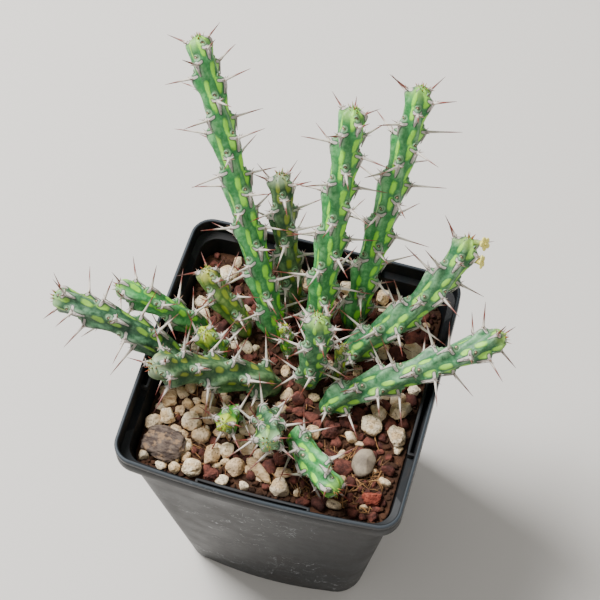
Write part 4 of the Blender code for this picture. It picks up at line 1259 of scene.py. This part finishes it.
def make_fibres(count):
    """Coir fibres that lie in loose bends on the soil, most of them at the front right."""
    draw = random.Random(29)
    stamp = Stamp("tint")
    form = as_mesh("fibre_form", cone_bmesh(5, 0.6, cuts=8, foot=-0.5))
    reach = wall_half(SOIL_TOP) - WALL - 4 * MM
    placed = 0
    while placed < count:
        x, y = draw.uniform(-reach, reach), draw.uniform(-reach, reach)
        if draw.random() > chance(x, y, FIBRE_THICK, FIBRE_ELSEWHERE) or blocked(x, y, 2 * MM, STEM_SPOTS):
            continue
        verts = stamp.add(form, Matrix.Identity(4), 0, tint=draw.random())
        long, width = draw.uniform(2, 7) * MM, draw.uniform(0.07, 0.26) * MM
        angle, bend, lift = draw.uniform(0, math.tau), draw.uniform(-0.6, 0.6), draw.uniform(0.1, 0.8) * MM
        cosine, sine = math.cos(angle), math.sin(angle)
        for vert in verts:
            along = vert.co.z
            across = bend * (0.25 - along * along) * long * 0.6
            px = x + cosine * along * long - sine * across
            py = y + sine * along * long + cosine * across
            px, py = (min(max(value, -reach), reach) for value in (px, py))
            pz = soil_height(px, py) + 0.9 * MM + lift * (1 - 4 * along * along)
            vert.co = (px - sine * vert.co.x * width, py + cosine * vert.co.x * width, pz + vert.co.y * width)
        placed += 1
    bmesh.ops.recalc_face_normals(stamp.bm, faces=stamp.bm.faces)
    place_piece("coir_fibres", stamp.bm, [finish("Dry_coir_fibre")])


class EUPHORBIA_OT_ground(bpy.types.Operator):
    """Makes the soil, its lava and pumice grains, peat crumbs and coir fibres"""

    bl_idname = "euphorbia.ground"
    bl_label = "Soil and grit"

    def execute(self, context):
        make_soil()
        taken = [(x * MM, y * MM, size * MM) for x, y, size in PUMICE_PEBBLES]
        for grit in GRITS:
            scatter(grit, taken)
        make_fibres(group("ground").fibre_count)
        return {"FINISHED"}


# The pot


def bow_out(point, middle):
    """Moves a point of a side outwards by that side's bow, which fades towards the corners."""
    for axis, other in ((0, 1), (1, 0)):
        bow = FRONT_BOW if axis == 1 and point.y < 0 else SIDE_BOW
        belly = max(0.0, 1 - (point[other] / middle) ** 2)
        if abs(point[axis]) > middle:
            point[axis] += math.copysign(bow * belly, point[axis])
    return point


def pot_ring(bm, z, half, inset):
    """A rounded, bowed square of edges at height z, moved inwards by inset."""
    settings = group("pot")
    corner = BASE_CORNER + (RIM_CORNER - BASE_CORNER) * z / POT_HEIGHT - inset
    half = half - inset
    middle = half - corner
    steps = 4 * (settings.corner_steps + settings.side_steps)
    ring = bmesh.ops.create_circle(bm, segments=steps, radius=half)["verts"]
    quarter = []
    for i in range(settings.corner_steps + 1):
        angle = math.pi / 2 * i / settings.corner_steps
        quarter.append(Vector((middle + corner * math.cos(angle), middle + corner * math.sin(angle), z)))
    for i in range(1, settings.side_steps):
        quarter.append(Vector((middle * (1 - 2 * i / settings.side_steps), half, z)))
    points = [Matrix.Rotation(turns * math.pi / 2, 4, "Z") @ point for turns in range(4) for point in quarter]
    for vert, point in zip(ring, points):
        vert.co = bow_out(point, middle)
    return list({e for v in ring for e in v.link_edges})


def pot_profile():
    """Height, half width and inset of each ring, up the outside and down the inside, with rounded edges."""
    foot = POT_HEIGHT - COLLAR_HEIGHT
    ledge = foot + WALL
    profile = [(0.0, BASE_HALF, EDGE), (0.1 * EDGE, BASE_HALF, 0.45 * EDGE),
               (0.45 * EDGE, BASE_HALF, 0.1 * EDGE), (EDGE, wall_half(EDGE), 0.0)]
    profile += [(z, wall_half(z), 0.0) for z in np.linspace(EDGE, foot - 0.3 * MM, 7)[1:]]
    profile += [(foot, wall_half(foot) + 0.15 * MM, 0.0), (foot + 0.65 * EDGE, RIM_HALF - 0.35 * MM, 0.0),
                (foot + EDGE, RIM_HALF - 0.06 * MM, 0.0), (foot + EDGE + 0.35 * MM, RIM_HALF, 0.0)]
    profile += [(POT_HEIGHT - below * MM, RIM_HALF, inset * MM) for below, inset in LIP]
    profile += [(ledge + EDGE + 0.4 * MM, RIM_HALF, WALL), (ledge + EDGE, RIM_HALF, WALL + 0.2 * MM),
                (ledge, wall_half(ledge), WALL - 0.1 * MM), (ledge - 0.4 * MM, wall_half(ledge), WALL),
                (FLOOR, wall_half(FLOOR), WALL)]
    return profile


def strip_bmesh(side):
    """One upright strip: a U in plan that stands on the ledge, its ends turned out into the collar."""
    face, back = RIM_HALF - WALL - STRIP_INSET, RIM_HALF - WALL / 2
    inner_half, inner_face = STRIP_HALF - STRIP_WALL, face + STRIP_WALL
    spread = [STRIP_HALF * i / 6 for i in range(6)]
    near = [(x, face) for x in spread] + [(STRIP_HALF - EDGE / 3, face + EDGE / 3), (STRIP_HALF, face + EDGE)]
    far = [(inner_half, back), (inner_half, inner_face)] + [(x, inner_face) for x in reversed(spread)]
    half_plan = near + [(STRIP_HALF, back)] + far
    plan = half_plan + [(-x, y) for x, y in reversed(half_plan[1:-1])]
    turned = Matrix.Rotation(side * math.pi / 2, 4, "Z")
    middle = RIM_HALF - RIM_CORNER
    bm = bmesh.new()
    outline = [bm.verts.new(bow_out(turned @ Vector((x, y, STRIP_FOOT)), middle)) for x, y in plan]
    raised = bmesh.ops.extrude_face_region(bm, geom=[bm.faces.new(outline)], use_keep_orig=True)["geom"]
    top = [g for g in raised if isinstance(g, bmesh.types.BMVert)]
    for vert in top:
        vert.co.z = STRIP_TOP
    bmesh.ops.recalc_face_normals(bm, faces=bm.faces)
    edges = [e for e in bm.edges if all(v in top for v in e.verts)]
    bmesh.ops.bevel(bm, geom=edges, offset=0.2 * MM, segments=2, profile=0.5, affect="EDGES", material=-1)
    return bm


def plastic_material():
    """Injection-moulded polypropylene: near-black, satin, dusty, with short curly pale scuffs outside and a
    painted highlight along the top of the lip.
    """
    material, tree = new_material("Moulded_black_polypropylene")
    height = add_node(tree, "SeparateXYZ", (add_node(tree, "TexCoord", out="Object"),), "Z")
    outside, dust, fine = (pattern(tree, source) for source in ("outside", (6.0, 5, 0.6), (0.25, 2)))
    curls = pattern(tree, (2.2, 1.5, 0.5, (0.05, 0.02, 0.01)))
    from_middle = add_node(tree, "Math", (curls, 0.5), operation="SUBTRACT")
    line = add_node(tree, "Math", (from_middle,), operation="ABSOLUTE")
    # Scuffs are thin curly lines, broken into strokes, in some regions, with fewer on the collar
    strokes = pattern(tree, (2.0, 2, 0.5, (0.5, 0.3, 0.1)))
    regions = pattern(tree, (12, 2, 0.5, (0.2, 0.6, 0.4)))
    scuff = outside
    for limits in ((line, 0.014, 0.003, 0.0, 1.0), (strokes, 0.44, 0.54, 0.0, 1.0),
                   (regions, 0.45, 0.62, 0.04, 1.0), (height, 0.0975, 0.0965, 0.3, 1.0)):
        share = add_node(tree, "MapRange", limits, interpolation_type="SMOOTHSTEP")
        scuff = add_node(tree, "Math", (scuff, share), operation="MULTIPLY")
    pale = add_node(tree, "Math", (scuff, 0.62), operation="MULTIPLY")
    # The grey-blue band at the top of the lip is a painted highlight
    layers = ((dust, 0.4, 0.75, 0.25, "#3f3632"), (height, 0.1035, 0.1048, 0.35, "#46515a"),
              (pale, "#a4a7aa"))
    dusty = add_node(tree, "MapRange", (dust, 0.3, 0.8, 0.5, 0.65), interpolation_type="SMOOTHSTEP")
    rough = add_node(tree, "Math", (outside, -0.14, dusty), operation="MULTIPLY_ADD")
    relief = add_node(tree, "Math", (scuff, 1.5, fine), operation="MULTIPLY_ADD")
    shade(tree, coat(tree, paint("pot.plastic"), layers), rough, relief, 0.03, {SPECULAR: 0.26})
    return material


def cut_drains(pot):
    """Cuts the drain holes with cylinders, which are removed afterwards."""
    cutters = bpy.data.collections.new("Drain_cutters")
    for x, y in ((-1, -1), (-1, 1), (1, -1), (1, 1)):
        bm = bmesh.new()
        place = Matrix.Translation((x * DRAIN_PLACE, y * DRAIN_PLACE, FLOOR / 2))
        bmesh.ops.create_cone(bm, cap_ends=True, segments=32, radius1=DRAIN_RADIUS, radius2=DRAIN_RADIUS,
                              depth=4 * FLOOR, matrix=place)
        cutters.objects.link(bpy.data.objects.new("drain_cutter", as_mesh("drain_form", bm)))
    bpy.context.scene.collection.children.link(cutters)
    cutting = pot.modifiers.new("Drains", "BOOLEAN")
    cutting.operation = "DIFFERENCE"
    cutting.operand_type = "COLLECTION"
    cutting.collection = cutters
    cutting.solver = "MANIFOLD"
    graph = bpy.context.evaluated_depsgraph_get()
    cut_mesh = bpy.data.meshes.new_from_object(pot.evaluated_get(graph))
    pot.modifiers.remove(cutting)
    pot.data = cut_mesh
    for cutter in list(cutters.objects):
        bpy.data.objects.remove(cutter, do_unlink=True)
    bpy.data.collections.remove(cutters)


class EUPHORBIA_OT_pot(bpy.types.Operator):
    """Makes the square nursery pot with its collar, lip, inner strips and drain holes"""

    bl_idname = "euphorbia.pot"
    bl_label = "Pot"

    def execute(self, context):
        bm = bmesh.new()
        rings = [pot_ring(bm, *row) for row in pot_profile()]
        for low, high in zip(rings, rings[1:]):
            bmesh.ops.bridge_loops(bm, edges=low + high)
        for ring in (rings[0], rings[-1]):
            bmesh.ops.edgeloop_fill(bm, edges=ring)
        bmesh.ops.recalc_face_normals(bm, faces=bm.faces)
        for side in range(4):
            bm.from_mesh(as_mesh("strip_form", strip_bmesh(side)))
        materials = [plastic_material(), finish("Dusty_black_polypropylene")]
        pot = place_piece("nursery_pot", bm, materials, ["pot"])
        cut_drains(pot)
        mesh = pot.data
        mesh.shade_smooth()
        mesh.set_sharp_from_angle(angle=SHARP_ANGLE)
        outwards = [vert.normal.xy.dot(vert.co.xy.normalized()) for vert in mesh.vertices]
        store(mesh, "outside", [share > FACING for share in outwards])
        for face in mesh.polygons:
            inwards = face.normal.xy.dot(face.center.xy.normalized()) < -FACING
            face.material_index = int(inwards and face.center.z > FLOOR)
        return {"FINISHED"}


# The stage


class EUPHORBIA_OT_stage(bpy.types.Operator):
    """Makes the plain floor, the soft lights and the camera"""

    bl_idname = "euphorbia.stage"
    bl_label = "Stage"

    def execute(self, context):
        settings, scene = group("stage"), context.scene
        bm = bmesh.new()
        bmesh.ops.create_grid(bm, x_segments=1, y_segments=1, size=FLOOR_SIZE)
        mesh = as_mesh("floor", bm)
        material, tree = new_material("Matt_paper_floor")
        shade(tree, paint("stage.floor_colour"), 0.9)
        mesh.materials.append(material)
        floor = bpy.data.objects.new("floor", mesh)
        scene.collection.objects.link(floor)
        for name, place, size in LIGHTS:
            light = bpy.data.lights.new(name, "AREA")
            light.size = size
            light.energy = getattr(settings, name + "_power")
            lamp = bpy.data.objects.new(name, light)
            lamp.location = place
            lamp.rotation_euler = (LIGHT_AIM - Vector(place)).to_track_quat("-Z", "Y").to_euler()
            scene.collection.objects.link(lamp)
        world = bpy.data.worlds.new("Plain_surroundings")
        world.use_nodes = True
        sky = world.node_tree.nodes["Background"].inputs
        sky["Color"].default_value = paint("#f4f3f0")
        sky["Strength"].default_value = settings.sky
        scene.world = world
        camera = bpy.data.cameras.new("photo_view")
        camera.sensor_width = SENSOR
        camera.lens = CAMERA_LENS
        view = bpy.data.objects.new("photo_view", camera)
        scene.collection.objects.link(view)
        level = math.cos(CAMERA_PITCH)
        ahead = Vector((math.sin(CAMERA_YAW) * level, math.cos(CAMERA_YAW) * level, -math.sin(CAMERA_PITCH)))
        right = Vector((math.cos(CAMERA_YAW), -math.sin(CAMERA_YAW), 0))
        rolled = Matrix.Rotation(-CAMERA_ROLL, 4, "Z")
        view.matrix_world = axes_matrix(right, right.cross(ahead), -ahead, CAMERA_PLACE) @ rolled
        scene.camera = view
        return {"FINISHED"}


class EUPHORBIA_PT_panel(bpy.types.Panel):
    """Lists the pieces of the potted euphorbia"""

    bl_idname = "EUPHORBIA_PT_panel"
    bl_label = "Potted euphorbia"
    bl_space_type = "VIEW_3D"
    bl_region_type = "UI"
    bl_category = "Euphorbia"

    def draw(self, context):
        for operator in OPERATORS:
            self.layout.operator(operator.bl_idname)
        for name in GROUPS:
            settings = getattr(context.scene, name)
            box = self.layout.box()
            for key in settings.bl_rna.properties.keys():
                if key not in ("rna_type", "name"):
                    box.prop(settings, key)


OPERATORS = (EUPHORBIA_OT_pot, EUPHORBIA_OT_stems, EUPHORBIA_OT_spines, EUPHORBIA_OT_blooms,
             EUPHORBIA_OT_stones, EUPHORBIA_OT_ground, EUPHORBIA_OT_stage)
GROUPS = {
    "euphorbia_stems": EuphorbiaStemSettings,
    "euphorbia_spines": EuphorbiaSpineSettings,
    "euphorbia_ground": EuphorbiaGroundSettings,
    "euphorbia_pot": EuphorbiaPotSettings,
    "euphorbia_stage": EuphorbiaStageSettings,
}


def register():
    for cls in (*GROUPS.values(), *OPERATORS, EUPHORBIA_PT_panel):
        bpy.utils.register_class(cls)
    for name, cls in GROUPS.items():
        setattr(bpy.types.Scene, name, PointerProperty(type=cls))


def unregister():
    for name in GROUPS:
        delattr(bpy.types.Scene, name)
    for cls in (EUPHORBIA_PT_panel, *reversed(OPERATORS), *reversed(GROUPS.values())):
        bpy.utils.unregister_class(cls)


def main():
    register()
    for name in ("pot", "stems", "spines", "blooms", "stones", "ground", "stage"):
        getattr(bpy.ops.euphorbia, name)()
    for mesh in [m for m in bpy.data.meshes if m.users == 0]:
        bpy.data.meshes.remove(mesh)


if __name__ == "__main__":
    main()
